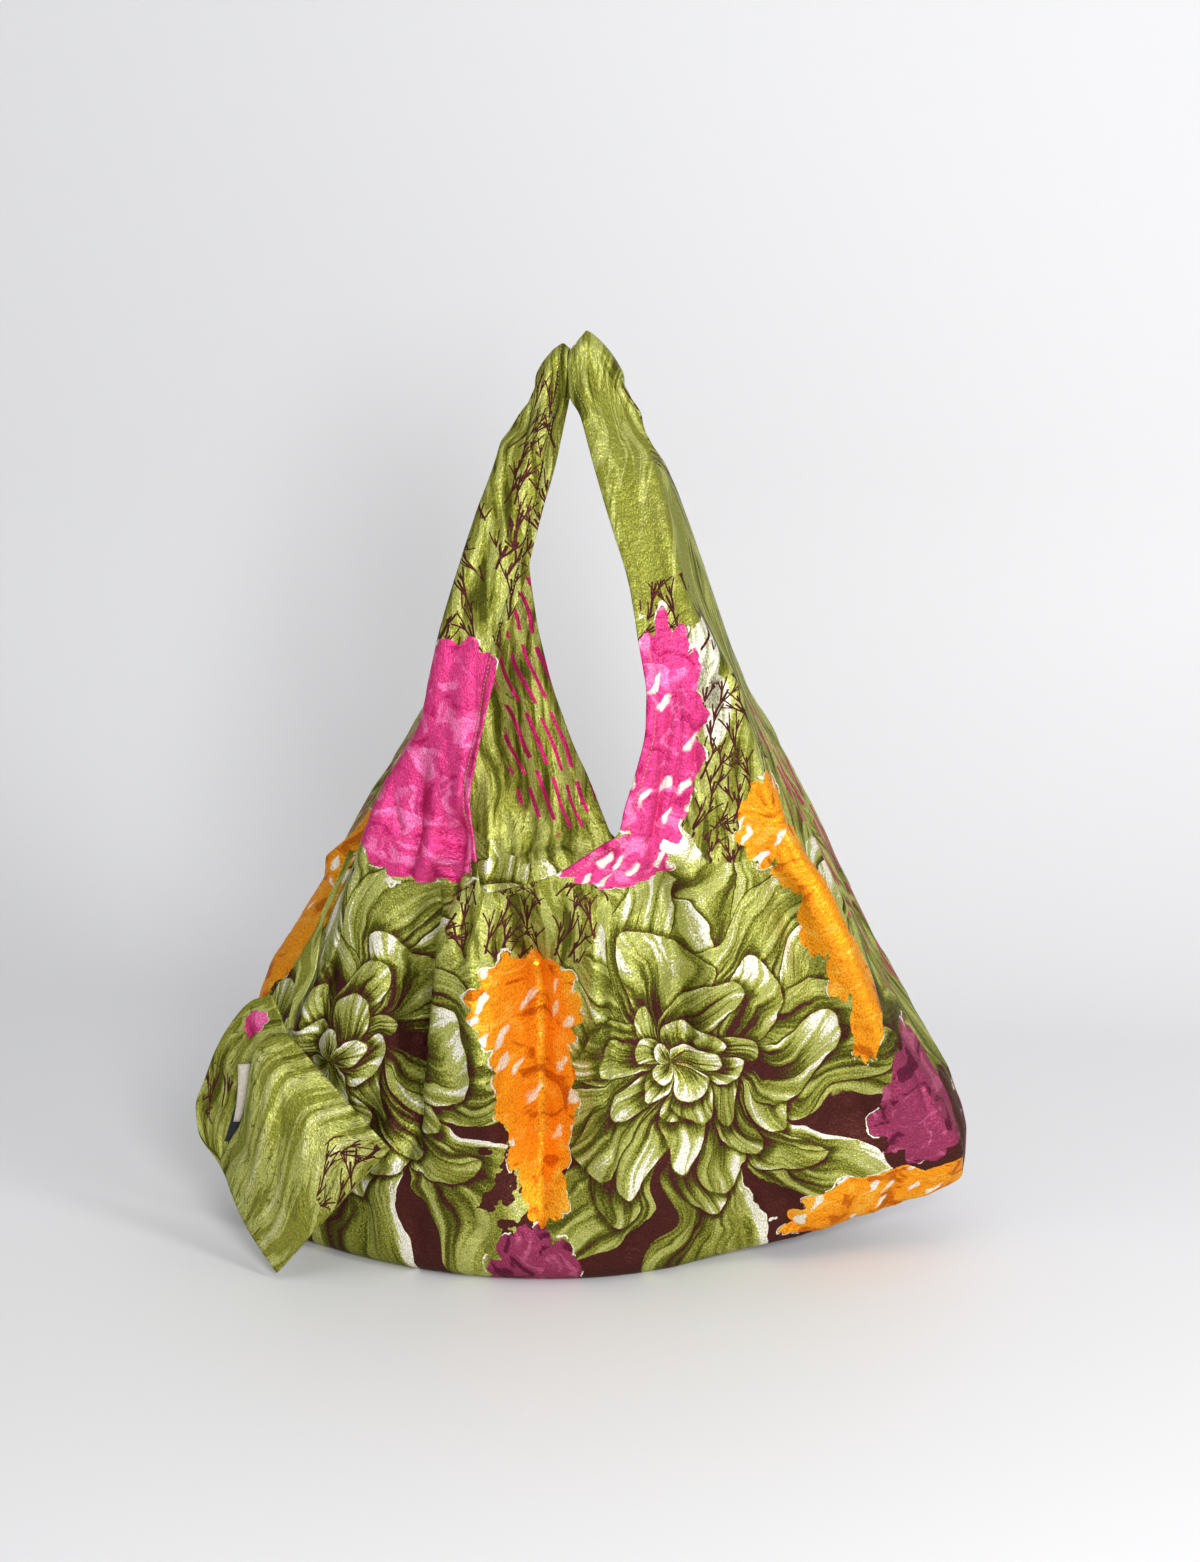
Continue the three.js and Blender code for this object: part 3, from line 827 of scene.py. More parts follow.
def makeSquare(name):
    square = pouchSquares[name]
    points = squarePoints(square)
    rows, columns = points.shape[:2]
    across = along(points)
    down = along(points.transpose(1, 0, 2)).T
    flat = np.stack([across, -down], -1).reshape(-1, 2)
    ids = np.arange(rows * columns).reshape(rows, columns)
    faces = gridFaces(ids, False)
    u, v = flat.T
    seams = np.stack([across[:, -1:] - across, down, down[-1:] - down]).min(axis=0).ravel()
    p, seed = pouch, square['seed']
    height = p['wave'] * ripple(u / p['waveBreadth'], v / p['waveLength'], seed)
    height += p['crumple'] * ripple(u / p['crumpleAcross'], v / p['crumpleDown'], seed + 1)
    height -= sum(creaseDepth(row, flat) for row in square['creases'])
    height = height * smooth(0, p['calmHem'], u) + p['hemRoll'] * hemRoll(u, p['hemWidth'])
    height = height * smooth(0, p['calmSeam'], seams)
    points = points.reshape(-1, 3)
    points = points + pointNormals(points, faces) * height[:, None]
    return makeSheet(name, points, faces, flat, p['halfCloth'], -p['halfCloth']), points, flat, faces


pouchFront, *pouchFrontGrid = makeSquare('pouch_front_cloth')
pouchBack, *pouchBackGrid = makeSquare('pouch_back_cloth')

# The two labels, each between the corners of its upper and its lower end, and the strip

labelCloth = {
    'width': 14,
    'length': 43,
    'halfCloth': 0.3,
    'columns': 9,
    'rows': 17,
}
labels = {
    'label_cloth': {
        'corners': [(-241, -82, 137), (-227, -85.5, 140), (-246, -80, 94), (-241, -82, 95)],
        'bow': (1.6, -1.2, 0),
    },
    'tab_cloth': {
        'corners': [(-243, -77, 112), (-229, -81.5, 120), (-254, -75.5, 77), (-245, -79, 80)],
        'bow': (0, 1.2, 0.4),
    },
}


def gridSheet(name, points, flat, halfCloth):
    rows, columns = points.shape[:2]
    faces = gridFaces(np.arange(rows * columns).reshape(rows, columns), False)
    return makeSheet(name, points.reshape(-1, 3), faces, flat.reshape(-1, 2), halfCloth, -halfCloth)


def makeLabel(name):
    a, b, c, d = (np.array(p, float) for p in labels[name]['corners'])
    steps = np.meshgrid(np.linspace(0, 1, labelCloth['columns']), np.linspace(0, 1, labelCloth['rows']))
    across, down = (v[..., None] for v in steps)
    points = mixed(mixed(a, b, across), mixed(c, d, across), down)
    points = points + np.array(labels[name]['bow']) * np.sin(np.pi * down)
    flat = np.concatenate([across * labelCloth['width'], down * labelCloth['length']], -1)
    return gridSheet(name, points, flat, labelCloth['halfCloth'])


label = makeLabel('label_cloth')
tab = makeLabel('tab_cloth')

stripEdges = curveTable('row x y z outX outY outZ', [
    [0, -173, -4, 271, -4, -2, 1],
    [1, -176, -14, 261, -4, -2, 0],
    [2, -181, -34, 246, -4, -1, 1],
    [3, -184, -54, 236, -4, -1, -2],
    [4, -182, -79, 226, -12, 4, -5],
    [5, -183, -86, 212, -15, 7, -3],
    [6, -188, -89, 198, -11, 5, -2],
    [7, -194, -90, 187, -6, 3, -1],
    [8, -198, -90, 177, -4, 1, -1],
    [9, -199, -90, 168, -4, 1, 0],
])


stripSteps = {'along': 73, 'across': 13}


def makeStrip():
    row = stripEdges(np.linspace(0, 9, stripSteps['along'])[:, None])
    share = np.linspace(0, 1, stripSteps['across'])
    points = np.stack([row[c] + row['out' + c.upper()] * share for c in 'xyz'], -1)
    flat = np.stack([along(points), -along(points.transpose(1, 0, 2)).T], -1)
    return gridSheet('strip_cloth', points, flat, pouch['halfCloth'])


strip = makeStrip()
print('pouch made')

# Node trees: a Term is one value of a tree, so that sums on it read as sums


class Term:
    def __init__(self, tree, socket):
        self.tree, self.socket = tree, socket

    def __add__(self, other):
        return calc('ADD', self, other)

    def __sub__(self, other):
        return calc('SUBTRACT', self, other)

    def __mul__(self, other):
        return calc('MULTIPLY', self, other)

    def __truediv__(self, other):
        return calc('DIVIDE', self, other)

    def __abs__(self):
        return calc('ABSOLUTE', self)


def treeOf(*values):
    return next(value.tree for value in values if isinstance(value, Term))


def wire(value, socket):
    if isinstance(value, Term):
        value.tree.links.new(value.socket, socket)
    else:
        socket.default_value = value


def addNode(tree, kind, inputs=(), output=0, **settings):
    # Adds a node, fills its inputs by number or name but for empty values, and gives back an output.
    node = tree.nodes.new(kind)
    for name, value in settings.items():
        setattr(node, name, value)
    for key, value in inputs.items() if isinstance(inputs, dict) else enumerate(inputs):
        if value is not None:
            wire(value, node.inputs[key])
    return Term(tree, node.outputs[output])


def calc(operation, *values, clamp=False):
    return addNode(treeOf(*values), 'ShaderNodeMath', values, operation=operation, use_clamp=clamp)


# Hem stitches: one thread's run of small stitches along a line of the cloth

stitch = {
    'fromEdge': 5.6,
    'pitch': 2.9,
    'length': 2.1,
    'thread': 0.55,
    'lift': 0.15,
    'bead': {'Segments': 6, 'Rings': 5, 'Radius': 0.5},
    'shortestRun': 8,     # points; shorter runs are left out
}


def lineAt(points, faces, field, level, outer):
    # The lines on a surface where a field has one value, each as a run of points.
    surface = points + pointNormals(points, faces) * outer
    places, joins = {}, {}
    for face in faces[(field[faces].min(axis=1) < level) & (field[faces].max(axis=1) >= level)]:
        cut = []
        for a, b in zip(face, np.roll(face, -1)):
            if (field[a] < level) != (field[b] < level):
                key = (min(a, b), max(a, b))
                places[key] = mixed(surface[key[0]], surface[key[1]],
                                    (level - field[key[0]]) / (field[key[1]] - field[key[0]]))
                cut.append(key)
        if len(cut) == 2:
            for one, other in (cut, cut[::-1]):
                joins.setdefault(one, []).append(other)
    runs = []
    while joins:
        start = next((key for key, others in joins.items() if len(others) == 1), next(iter(joins)))
        run, key = [], start
        while key is not None:
            run.append(places[key])
            others = joins.pop(key)
            key = next((other for other in others if other in joins), None)
        runs.append(np.array(run))
    return [run for run in runs if len(run) > stitch['shortestRun']]


def makeStitchTree():
    # A bead to each pitch of a line, turned along it.
    tree = bpy.data.node_groups.new('stitches', 'GeometryNodeTree')
    sockets = {
        'Line': 'Geometry',
        'Pitch': 'Float',
        'Length': 'Float',
        'Thread': 'Float',
        'Material': 'Material',
    }
    for label, kind in sockets.items():
        tree.interface.new_socket(label, in_out='INPUT', socket_type='NodeSocket' + kind)
    tree.interface.new_socket('Stitches', in_out='OUTPUT', socket_type='NodeSocketGeometry')
    given = {socket.name: Term(tree, socket) for socket in tree.nodes.new('NodeGroupInput').outputs}
    curve = addNode(tree, 'GeometryNodeMeshToCurve', {'Mesh': given['Line']})
    spacing = {'Curve': curve, 'Length': given['Pitch']}
    spaced = addNode(tree, 'GeometryNodeResampleCurve', spacing, mode='LENGTH')
    bead = addNode(tree, 'GeometryNodeMeshUVSphere', stitch['bead'])
    size = addNode(tree, 'ShaderNodeCombineXYZ', (given['Length'], given['Thread'], given['Thread']))
    shaped = addNode(tree, 'GeometryNodeTransform', {'Geometry': bead, 'Scale': size})
    tangent = addNode(tree, 'GeometryNodeInputTangent')
    turned = addNode(tree, 'FunctionNodeAlignRotationToVector', {'Vector': tangent}, axis='X')
    places = {'Points': spaced, 'Instance': shaped, 'Rotation': turned}
    placed = addNode(tree, 'GeometryNodeInstanceOnPoints', places)
    real = addNode(tree, 'GeometryNodeRealizeInstances', {'Geometry': placed})
    finish = addNode(tree, 'GeometryNodeSetMaterial', {'Geometry': real, 'Material': given['Material']})
    wire(finish, tree.nodes.new('NodeGroupOutput').inputs['Stitches'])
    return tree


stitchTree = makeStitchTree()


def makeStitches(name, runs, material):
    # Plain geometry of all the stitches along some runs of points.
    points = (np.concatenate(runs) + np.array(bag['middle'])) / 1000
    edges, start = [], 0
    for run in runs:
        edges += [(start + i, start + i + 1) for i in range(len(run) - 1)]
        start += len(run)
    piece = addMesh(name, points.tolist(), edges, [])
    modifier = piece.modifiers.new('stitches', 'NODES')
    modifier.node_group = stitchTree
    values = {name.capitalize(): stitch[name] / 1000 for name in ('pitch', 'length', 'thread')}
    values['Material'] = material
    for item in stitchTree.interface.items_tree:
        if item.in_out == 'INPUT' and item.name in values:
            modifier[item.identifier] = values[item.name]
    seen = piece.evaluated_get(bpy.context.evaluated_depsgraph_get())
    finished = bpy.data.meshes.new_from_object(seen)
    piece.modifiers.clear()
    piece.data = finished
    finished.polygons.foreach_set('use_smooth', np.ones(len(finished.polygons), bool))
    return piece


thread = bpy.data.materials.new('thread')     # its nodes are added with the other finishes
hemStitches = []
for name, grid in (('front_hem_stitches', frontGrid), ('back_hem_stitches', backGrid)):
    lift = bag['outer'] + stitch['lift']
    hemStitches.append(makeStitches(name, lineAt(*grid, stitch['fromEdge'], lift), thread))
pouchRuns = []
for points, flat, faces in (pouchFrontGrid, pouchBackGrid):
    pouchRuns += lineAt(points, faces, flat[:, 0], stitch['fromEdge'], pouch['halfCloth'] + stitch['lift'])
pouchStitches = makeStitches('pouch_hem_stitches', pouchRuns, thread)
print('stitches made', [len(p.data.polygons) for p in (*hemStitches, pouchStitches)])

# Shader building blocks


def mulAdd(value, factor, addend):
    return calc('MULTIPLY_ADD', value, factor, addend)


def vectorCalc(operation, a, b=None, scale=None):
    output = 'Value' if operation in ('LENGTH', 'DOT_PRODUCT') else 'Vector'
    inputs = {0: a, 1: b, 'Scale': scale}
    return addNode(a.tree, 'ShaderNodeVectorMath', inputs, output, operation=operation)


def ranged(value, low, high, toLow=0.0, toHigh=1.0, kind='SMOOTHSTEP'):
    values = value, low, high, toLow, toHigh
    return addNode(value.tree, 'ShaderNodeMapRange', values, 'Result', interpolation_type=kind)


def blend(share, a, b):
    return addNode(treeOf(share, a, b), 'ShaderNodeMix', {0: share, 2: a, 3: b})


def blendColour(share, a, b, mode='MIX'):
    a, b = ((*value, 1) if isinstance(value, tuple) else value for value in (a, b))
    kinds = {'data_type': 'RGBA', 'blend_type': mode}
    return addNode(treeOf(share, a, b), 'ShaderNodeMix', {0: share, 6: a, 7: b}, 2, **kinds)


def noise(vector, scale, detail=2.0, rough=0.5, bent=0.0, out='Fac'):
    inputs = {'Vector': vector, 'Scale': scale, 'Detail': detail, 'Roughness': rough, 'Distortion': bent}
    return addNode(vector.tree, 'ShaderNodeTexNoise', inputs, out, noise_dimensions='2D')


def drift(place, scale, amount, detail=1.0):
    # A place moved about by a soft noise.
    away = vectorCalc('SUBTRACT', noise(place, scale, detail, out='Color'), (0.5, 0.5, 0.5))
    return vectorCalc('ADD', place, vectorCalc('SCALE', away, scale=amount))


def cells(vector, scale, out='Distance'):
    inputs = {'Vector': vector, 'Scale': scale}
    return addNode(vector.tree, 'ShaderNodeTexVoronoi', inputs, out, voronoi_dimensions='2D')


def chances(value, dimensions='1D'):
    # Three chances from 0 to 1 for each value.
    inputs = {'W' if dimensions == '1D' else 'Vector': value}
    return parts(addNode(value.tree, 'ShaderNodeTexWhiteNoise', inputs, 'Color', noise_dimensions=dimensions))


def rampOf(value, stops):
    node = value.tree.nodes.new('ShaderNodeValToRGB')
    wire(value, node.inputs[0])
    elements = node.color_ramp.elements
    while len(elements) < len(stops):
        elements.new(0.5)
    for element, (place, ink) in zip(elements, stops):
        element.position, element.color = place, (*inks[ink], 1)
    return Term(value.tree, node.outputs[0])


def parts(vector):
    node = vector.tree.nodes.new('ShaderNodeSeparateXYZ')
    wire(vector, node.inputs[0])
    return [Term(vector.tree, output) for output in node.outputs]


def joined(x, y, z=0.0):
    return addNode(treeOf(x, y, z), 'ShaderNodeCombineXYZ', (x, y, z))


def newGroup(name, inputs, outputs):
    # A shader group. What its sockets carry are numbers, but for those named as places.
    tree = bpy.data.node_groups.new(name, 'ShaderNodeTree')
    for way, labels in (('INPUT', inputs), ('OUTPUT', outputs)):
        for label in labels.split():
            kind = 'NodeSocketVector' if label in ('Place', 'Pattern', 'Centre') else 'NodeSocketFloat'
            tree.interface.new_socket(label, in_out=way, socket_type=kind)
    given = {socket.name: Term(tree, socket) for socket in tree.nodes.new('NodeGroupInput').outputs}
    return tree, given, tree.nodes.new('NodeGroupOutput').inputs


def use(group, **values):
    tree = treeOf(*values.values())
    node = tree.nodes.new('ShaderNodeGroup')
    node.node_tree = group
    for name, value in values.items():
        wire(value, node.inputs[name])
    return {output.name: Term(tree, output) for output in node.outputs}


def ink(code):
    # A hex colour as linear light.
    values = [int(code[i:i + 2], 16) / 255 for i in (0, 2, 4)]
    return tuple(v / 12.92 if v < 0.04045 else ((v + 0.055) / 1.055) ** 2.4 for v in values)


inks = {
    'maroon': ink('4b2320'),
    'darkGreen': ink('535417'),
    'green': ink('888935'),
    'lightGreen': ink('b1b360'),
    'paleGreen': ink('cecc8c'),
    'cream': ink('f1ecda'),
    'deepOrange': ink('c96a10'),
    'orange': ink('f59b1e'),
    'lightOrange': ink('f7b03a'),
    'deepPink': ink('b92563'),
    'pink': ink('d84080'),
    'lightPink': ink('ec70a8'),
    'palePink': ink('f3a9c8'),
    'deepPlum': ink('611d38'),
    'plum': ink('96385a'),
    'lightPlum': ink('b6587a'),
}

# The print: groups that draw its parts, in millimetres on the flat cloth

petal = {
    'reach': (0.72, 1.18),     # shortest and longest, to its ring's own
    'lean': 0.7,               # how far the midribs lie off the middles
    'edge': 0.01,
    'streaks': (5.0, 1.3),     # across a petal, and along it
    'streakDetail': 2.5,
    'streakRough': 0.62,
    'streakDepth': 1.5,
    'shade': (0.25, 0.9),      # where along a petal it turns from deep to bright
    'slope': 0.28,             # how much lighter one side may be than the other
    'ribWidth': 0.13,
    'ribDepth': 0.25,
    'ribFade': (0.4, 0.95),
    'tip': (0.7, 0.98),
    'tipLight': 0.4,
    'shadowWidth': 0.08,       # the shade on the petals below
    'shadowDepth': 0.35,
}


def makePetalRing():
    # One ring of petals. Tone runs from 0, the dark ground, to 1, cream.
    names = 'Place Tone Cover Reach Count Phase Tip Point Curl Deep Bright'
    tree, given, out = newGroup('petal ring', names, 'Tone Cover')
    x, y, _ = parts(given['Place'])
    radius, count = vectorCalc('LENGTH', given['Place']), given['Count']
    turn = mulAdd(calc('ARCTAN2', y, x), 0.5 / math.pi, 0.5)
    angle = mulAdd(radius, given['Curl'], mulAdd(turn, count, given['Phase']))
    across = mulAdd(calc('FRACT', angle), 2.0, -1.0)
    own = calc('FLOORED_MODULO', calc('FLOOR', angle), count)
    own = mulAdd(given['Reach'], 53.7, own)     # so that the rings' chances differ
    luck = chances(own)

    reach = given['Reach'] * ranged(luck[0], 0, 1, *petal['reach'], 'LINEAR')
    lean = mulAdd(luck[1] - 0.5, petal['lean'], across)
    narrowing = calc('POWER', abs(across), given['Tip'])
    edge = calc('POWER', calc('SUBTRACT', 1.0, narrowing, clamp=True), given['Point']) * reach
    inside = edge - radius
    share = radius / calc('MAXIMUM', edge, 0.001)
    cover = ranged(inside, 0.0, petal['edge'])

    streaksAcross, streaksAlong = petal['streaks']
    grain = joined(mulAdd(across, streaksAcross, own * 31.0), radius * streaksAlong)
    streak = noise(grain, 1.0, petal['streakDetail'], petal['streakRough'])
    tone = ranged(share, *petal['shade'], given['Deep'], given['Bright'])
    tone = mulAdd(streak - 0.5, petal['streakDepth'], tone)
    tone = mulAdd(lean, ranged(luck[2], 0, 1, -petal['slope'], petal['slope'], 'LINEAR'), tone)
    rib = ranged(abs(lean), 0.0, petal['ribWidth'], petal['ribDepth'], 0.0)
    tone = tone - rib * ranged(share, *petal['ribFade'], 1.0, 0.0)
    tip = ranged(share, *petal['tip']) * ranged(luck[1], 0.2, 0.9, 0.0, petal['tipLight'])
    tone = tone + tip * ranged(lean, -0.6, 0.6)
    under = given['Tone'] * ranged(inside, -petal['shadowWidth'], 0.0, 1.0, petal['shadowDepth'])
    wire(blend(cover, under, tone), out['Tone'])
    wire(calc('MAXIMUM', given['Cover'], cover), out['Cover'])
    return tree


bloomRings = namedRows('x y reach count phase tip point curl deep bright', [
    [0.03, -0.04, 1.46, 8, 0.10, 1.9, 0.5, 0.3, 0.42, 0.5],
    [0.08, 0.06, 1.18, 9, 0.45, 1.8, 0.55, -0.4, 0.32, 0.52],
    [0.00, 0.04, 0.93, 8, 0.70, 1.8, 0.55, 0.5, 0.22, 0.56],
    [0.05, -0.03, 0.70, 7, 0.20, 1.9, 0.52, -0.6, 0.17, 0.56],
    [-0.04, -0.02, 0.50, 7, 0.55, 2.0, 0.5, 0.8, 0.17, 0.6],
    [-0.02, -0.08, 0.31, 5, 0.35, 2.2, 0.45, -1.1, 0.2, 0.64],
    [-0.05, -0.08, 0.16, 4, 0.15, 2.6, 0.45, 1.2, 0.26, 0.8],
])
bloomShape = {
    'drift': (1.5, 0.5),       # scale and reach of the noise that bends it
    'ripple': (5.0, 0.07),
    'ground': 0.05,
    'light': 0.07,             # lighter towards the upper left
}


def makeBloom():
    # A many-petalled bloom about the middle of its Place, one unit from there to its rim.
    tree, given, out = newGroup('bloom', 'Place Pattern', 'Tone Cover')
    place = drift(vectorCalc('ADD', given['Place'], given['Pattern']), *bloomShape['drift'])
    place = drift(place, *bloomShape['ripple'], 2.0)
    flat = vectorCalc('MULTIPLY', vectorCalc('SUBTRACT', place, given['Pattern']), (1, 1, 0))
    tone, cover = bloomShape['ground'], 0.0
    for ring in bloomRings:
        sizes = {key.capitalize(): value for key, value in ring.items() if key not in 'xy'}
        own = vectorCalc('SUBTRACT', flat, (ring['x'], ring['y'], 0))
        drawn = use(petalRing, Place=own, Tone=tone, Cover=cover, **sizes)
        tone, cover = drawn['Tone'], drawn['Cover']
    x, y, _ = parts(flat)
    wire(tone + (y - x) * bloomShape['light'], out['Tone'])
    wire(cover, out['Cover'])
    return tree


patchShape = {
    'scallop': 0.14,
    'ragged': 0.55,
    'edge': 0.02,
    'line': (-0.05, -0.03, -0.01, 0.0),     # from where to where the pale line swells and fades
    'lineShare': (0.53, 0.56),
}


def makeFlowerPatch():
    # A flat round flower with a scalloped rim: where it covers, and a broken pale line along its rim.
    tree, given, out = newGroup('flower patch', 'Place Ragged Centre Width Height Lobes', 'Cover Rim')
    x, y, _ = parts(vectorCalc('SUBTRACT', given['Place'], given['Centre']))
    x, y = x / given['Width'], y / given['Height']
    radius = vectorCalc('LENGTH', joined(x, y))
    scallop = abs(calc('SINE', calc('ARCTAN2', y, x) * given['Lobes']))
    rim = mulAdd(scallop, patchShape['scallop'], 1 - patchShape['scallop'])
    inside = mulAdd(given['Ragged'] - 0.5, patchShape['ragged'], rim) - radius
    wire(ranged(inside, 0.0, patchShape['edge']), out['Cover'])
    line = patchShape['line']
    band = ranged(inside, *line[:2]) * ranged(inside, *line[2:], 1.0, 0.0)
    wire(band * ranged(given['Ragged'], *patchShape['lineShare']), out['Rim'])
    return tree


twigShape = {
    'drift': (0.022, 15.0),
    'root': (0.5, 0.1, 0),
    'turn': 0.4,                   # how far a tree may lean either way
    'length': 0.42,                # of its square
    'thick': 0.0155,
    'forks': (0.45, 0.6, 0.6),     # where along it each length forks
    'shorter': 0.82,
    'thinner': 0.8,
}
twigTrees = namedRows('x y spread lean', [
    [0, 0, 0.3, -0.45],
    [27, 15, 0.26, 0.2],
    [-19, 38, 0.36, 0.55],
    [9, -24, 0.28, -0.1],
    [35, -9, 0.3, 0.35],
])


def makeTwigs():
    # Bare forking twigs, a tree of each kind to each square of the cloth.
    tree, given, out = newGroup('twigs', 'Place Size Thickness', 'Mask')
    place = drift(given['Place'], *twigShape['drift'])
    toSquares = calc('DIVIDE', 1.0, given['Size'])
    best = None
    for row in twigTrees:
        moved = vectorCalc('ADD', place, (row['x'], row['y'], 0))
        moved = vectorCalc('SCALE', moved, scale=toSquares)
        luck = chances(vectorCalc('FLOOR', moved), '3D')
        local = vectorCalc('SUBTRACT', vectorCalc('FRACTION', moved), twigShape['root'])
        low, high = row['lean'] - twigShape['turn'], row['lean'] + twigShape['turn']
        lean = ranged(luck[0], 0, 1, low, high, 'LINEAR')
        turned = {'Vector': local, 'Angle': lean}
        x, y, _ = parts(addNode(tree, 'ShaderNodeVectorRotate', turned, rotation_type='Z_AXIS'))
        c, s = math.cos(row['spread']), math.sin(row['spread'])
        length, thick = twigShape['length'], twigShape['thick']
        for fork in twigShape['forks']:
            past = y - calc('MINIMUM', calc('MAXIMUM', y, 0.0), length)
            away = vectorCalc('LENGTH', joined(x, past)) / thick
            best = away if best is None else calc('MINIMUM', best, away)
            x, y = abs(x), y - length * fork
            x, y = x * c - y * s, mulAdd(x, s, y * c)
            length *= twigShape['shorter']
            thick *= twigShape['thinner']
    wire(ranged(best, given['Thickness'], given['Thickness'] * 1.3, 1.0, 0.0), out['Mask'])
    return tree


def makeStrokes():
    # Long wavy brush strokes up the cloth, from 0, dark, to 1, light.
    tree, given, out = newGroup('strokes', 'Place Across Along Sway', 'Tone Place')
    place = drift(given['Place'], 0.014, given['Sway'])
    x, y, _ = parts(place)
    wire(noise(joined(x / given['Across'], y / given['Along']), 1.0), out['Tone'])
    wire(place, out['Place'])
    return tree


def makeGrain():
    # The crinkled satin surface: its height, and the glint of its threads.
    tree, given, out = newGroup('satin grain', 'Place', 'Height Glint')
    x, y, _ = parts(given['Place'])
    glint = noise(joined(x * 0.95, y * 0.6), 1.0, 1.5, 0.7)
    crinkle = noise(given['Place'], 0.16, 2.0, 0.6)
    wire(mulAdd(crinkle, 2.6, glint), out['Height'])
    wire(glint, out['Glint'])
    return tree


def makeTapeWeave():
    # Narrow woven tape: its height, and the shade between its threads.
    tree, given, out = newGroup('tape weave', 'Place', 'Height Shade')
    x, y, _ = parts(given['Place'])
    weave = mulAdd(calc('SINE', x * 9.0) * calc('SINE', y * 13.0), 0.5, 0.5)
    wear = noise(given['Place'], 0.35, 2.0, 0.6)
    wire(weave, out['Height'])
    wire(mulAdd(weave, 0.25, mulAdd(wear, 0.5, 0.5)), out['Shade'])
    return tree


petalRing = makePetalRing()
bloom = makeBloom()
flowerPatch = makeFlowerPatch()
twigs = makeTwigs()
strokes = makeStrokes()
grain = makeGrain()
tapeWeave = makeTapeWeave()
print('print groups made')

flowerInks = {
    'orange': [(0.32, 'deepOrange'), (0.42, 'orange'), (0.58, 'orange'), (0.68, 'lightOrange')],
    'pink': [(0.28, 'deepPink'), (0.38, 'pink'), (0.54, 'pink'), (0.64, 'lightPink'), (0.8, 'lightPink'),
             (0.88, 'palePink')],
    'plum': [(0.34, 'deepPlum'), (0.42, 'plum'), (0.6, 'plum'), (0.68, 'lightPlum')],
}
bloomInks = [(0.15, 'maroon'), (0.2, 'darkGreen'), (0.33, 'darkGreen'), (0.39, 'green'), (0.5, 'green'),
             (0.56, 'lightGreen'), (0.76, 'lightGreen'), (0.84, 'cream')]
groundInks = [(0.36, 'darkGreen'), (0.43, 'green'), (0.5, 'green'), (0.56, 'lightGreen')]
strapInks = [(0.42, 'green'), (0.5, 'lightGreen'), (0.62, 'lightGreen'), (0.7, 'paleGreen')]

# Where each part of the print lies, in millimetres of flat cloth: spots are x, y, half width, half height
flowerNames = 'ink x y width height lobes over flecks'
layouts = {
    'front': {
        'blooms': {'x': 78, 'y': 160, 'width': 130, 'height': 146, 'repeat': 250, 'overlap': 120},
        'dashes': [(186, 384, 24, 56), (224, 304, 26, 60), (262, 220, 26, 56)],
        'flowers': namedRows(flowerNames, [
            ['orange', 130, 346, 24, 38, 5, 1, 1],
            ['orange', 152, 310, 18, 36, 5, 1, 0],
            ['orange', 170, 272, 16, 44, 6, 1, 0],
            ['orange', 188, 236, 14, 40, 5, 1, 0],
            ['orange', 204, 196, 12, 46, 5, 1, 0],
            ['orange', 236, 16, 88, 38, 7, 1, 1],
            ['plum', -30, 4, 34, 42, 6, 1, 0],
            ['plum', 250, 114, 38, 62, 6, 1, 0],
            ['orange', -22, 70, 18, 28, 5, 1, 0],
            ['orange', -26, 104, 22, 42, 5, 1, 0],
            ['orange', -27, 148, 29, 58, 5, 1, 1],
            ['orange', -32, 206, 39, 38, 7, 1, 1],
            ['pink', -84, 426, 34, 50, 6, 1, 0],
            ['pink', -98, 382, 44, 46, 6, 1, 0],
            ['pink', -112, 336, 50, 54, 7, 1, 0],
            ['pink', 52, 410, 32, 86, 7, 1, 1],
            ['pink', 26, 320, 38, 26, 6, 1, 1],
        ]),
        'twigs': [(-34, 264, 70, 42), (104, 374, 44, 84), (-64, 560, 50, 130), (60, 492, 34, 30)],
        'overBlooms': [(-34, 270, 52, 38), (100, 372, 32, 56)],
        'light': [(50, 572, 60, 110)],
        'bands': True,
        'pale': [(79, 462, 12, 30), (90, 430, 9, 24)],
    },
}
layouts['back'] = {
    'blooms': {'x': -60, 'y': 134, 'width': 124, 'height': 134, 'repeat': 262, 'overlap': 120},
    'waves': True,
    'dashes': [(-46, 400, 44, 130), (188, 336, 34, 76), (226, 240, 30, 70), (-196, 330, 40, 60)],
    'flowers': namedRows(flowerNames, [
        ['orange', -246, 280, 17, 36, 5, 1, 0],
        ['orange', -265, 238, 20, 42, 5, 1, 1],
        ['orange', -285, 190, 22, 44, 5, 1, 0],
        ['orange', 70, 60, 54, 80, 8, 0, 1],
        ['plum', -190, 2, 66, 40, 6, 0, 0],
        ['plum', 252, 60, 40, 60, 6, 0, 0],
        ['pink', 92, 300, 58, 52, 8, 1, 1],
    ]),
    'twigs': [(-150, 290, 40, 60), (30, 580, 40, 90), (150, 250, 40, 40)],
    'overBlooms': [(12, 306, 120, 92)],
}
layouts['pouchFront'] = {
    'waves': True,
    'light': [(66, -72, 78, 74)],
    'twigs': [(102, -36, 20, 30)],
}
layouts['pouchBack'] = {
    'waves': True,
    'twigs': [(20, -90, 20, 24)],
    'flowers': namedRows(flowerNames, [['pink', 14, -24, 8, 14, 4, 1, 0]]),
}
layouts['strip'] = {'light': [(0, 0, 400, 400)]}

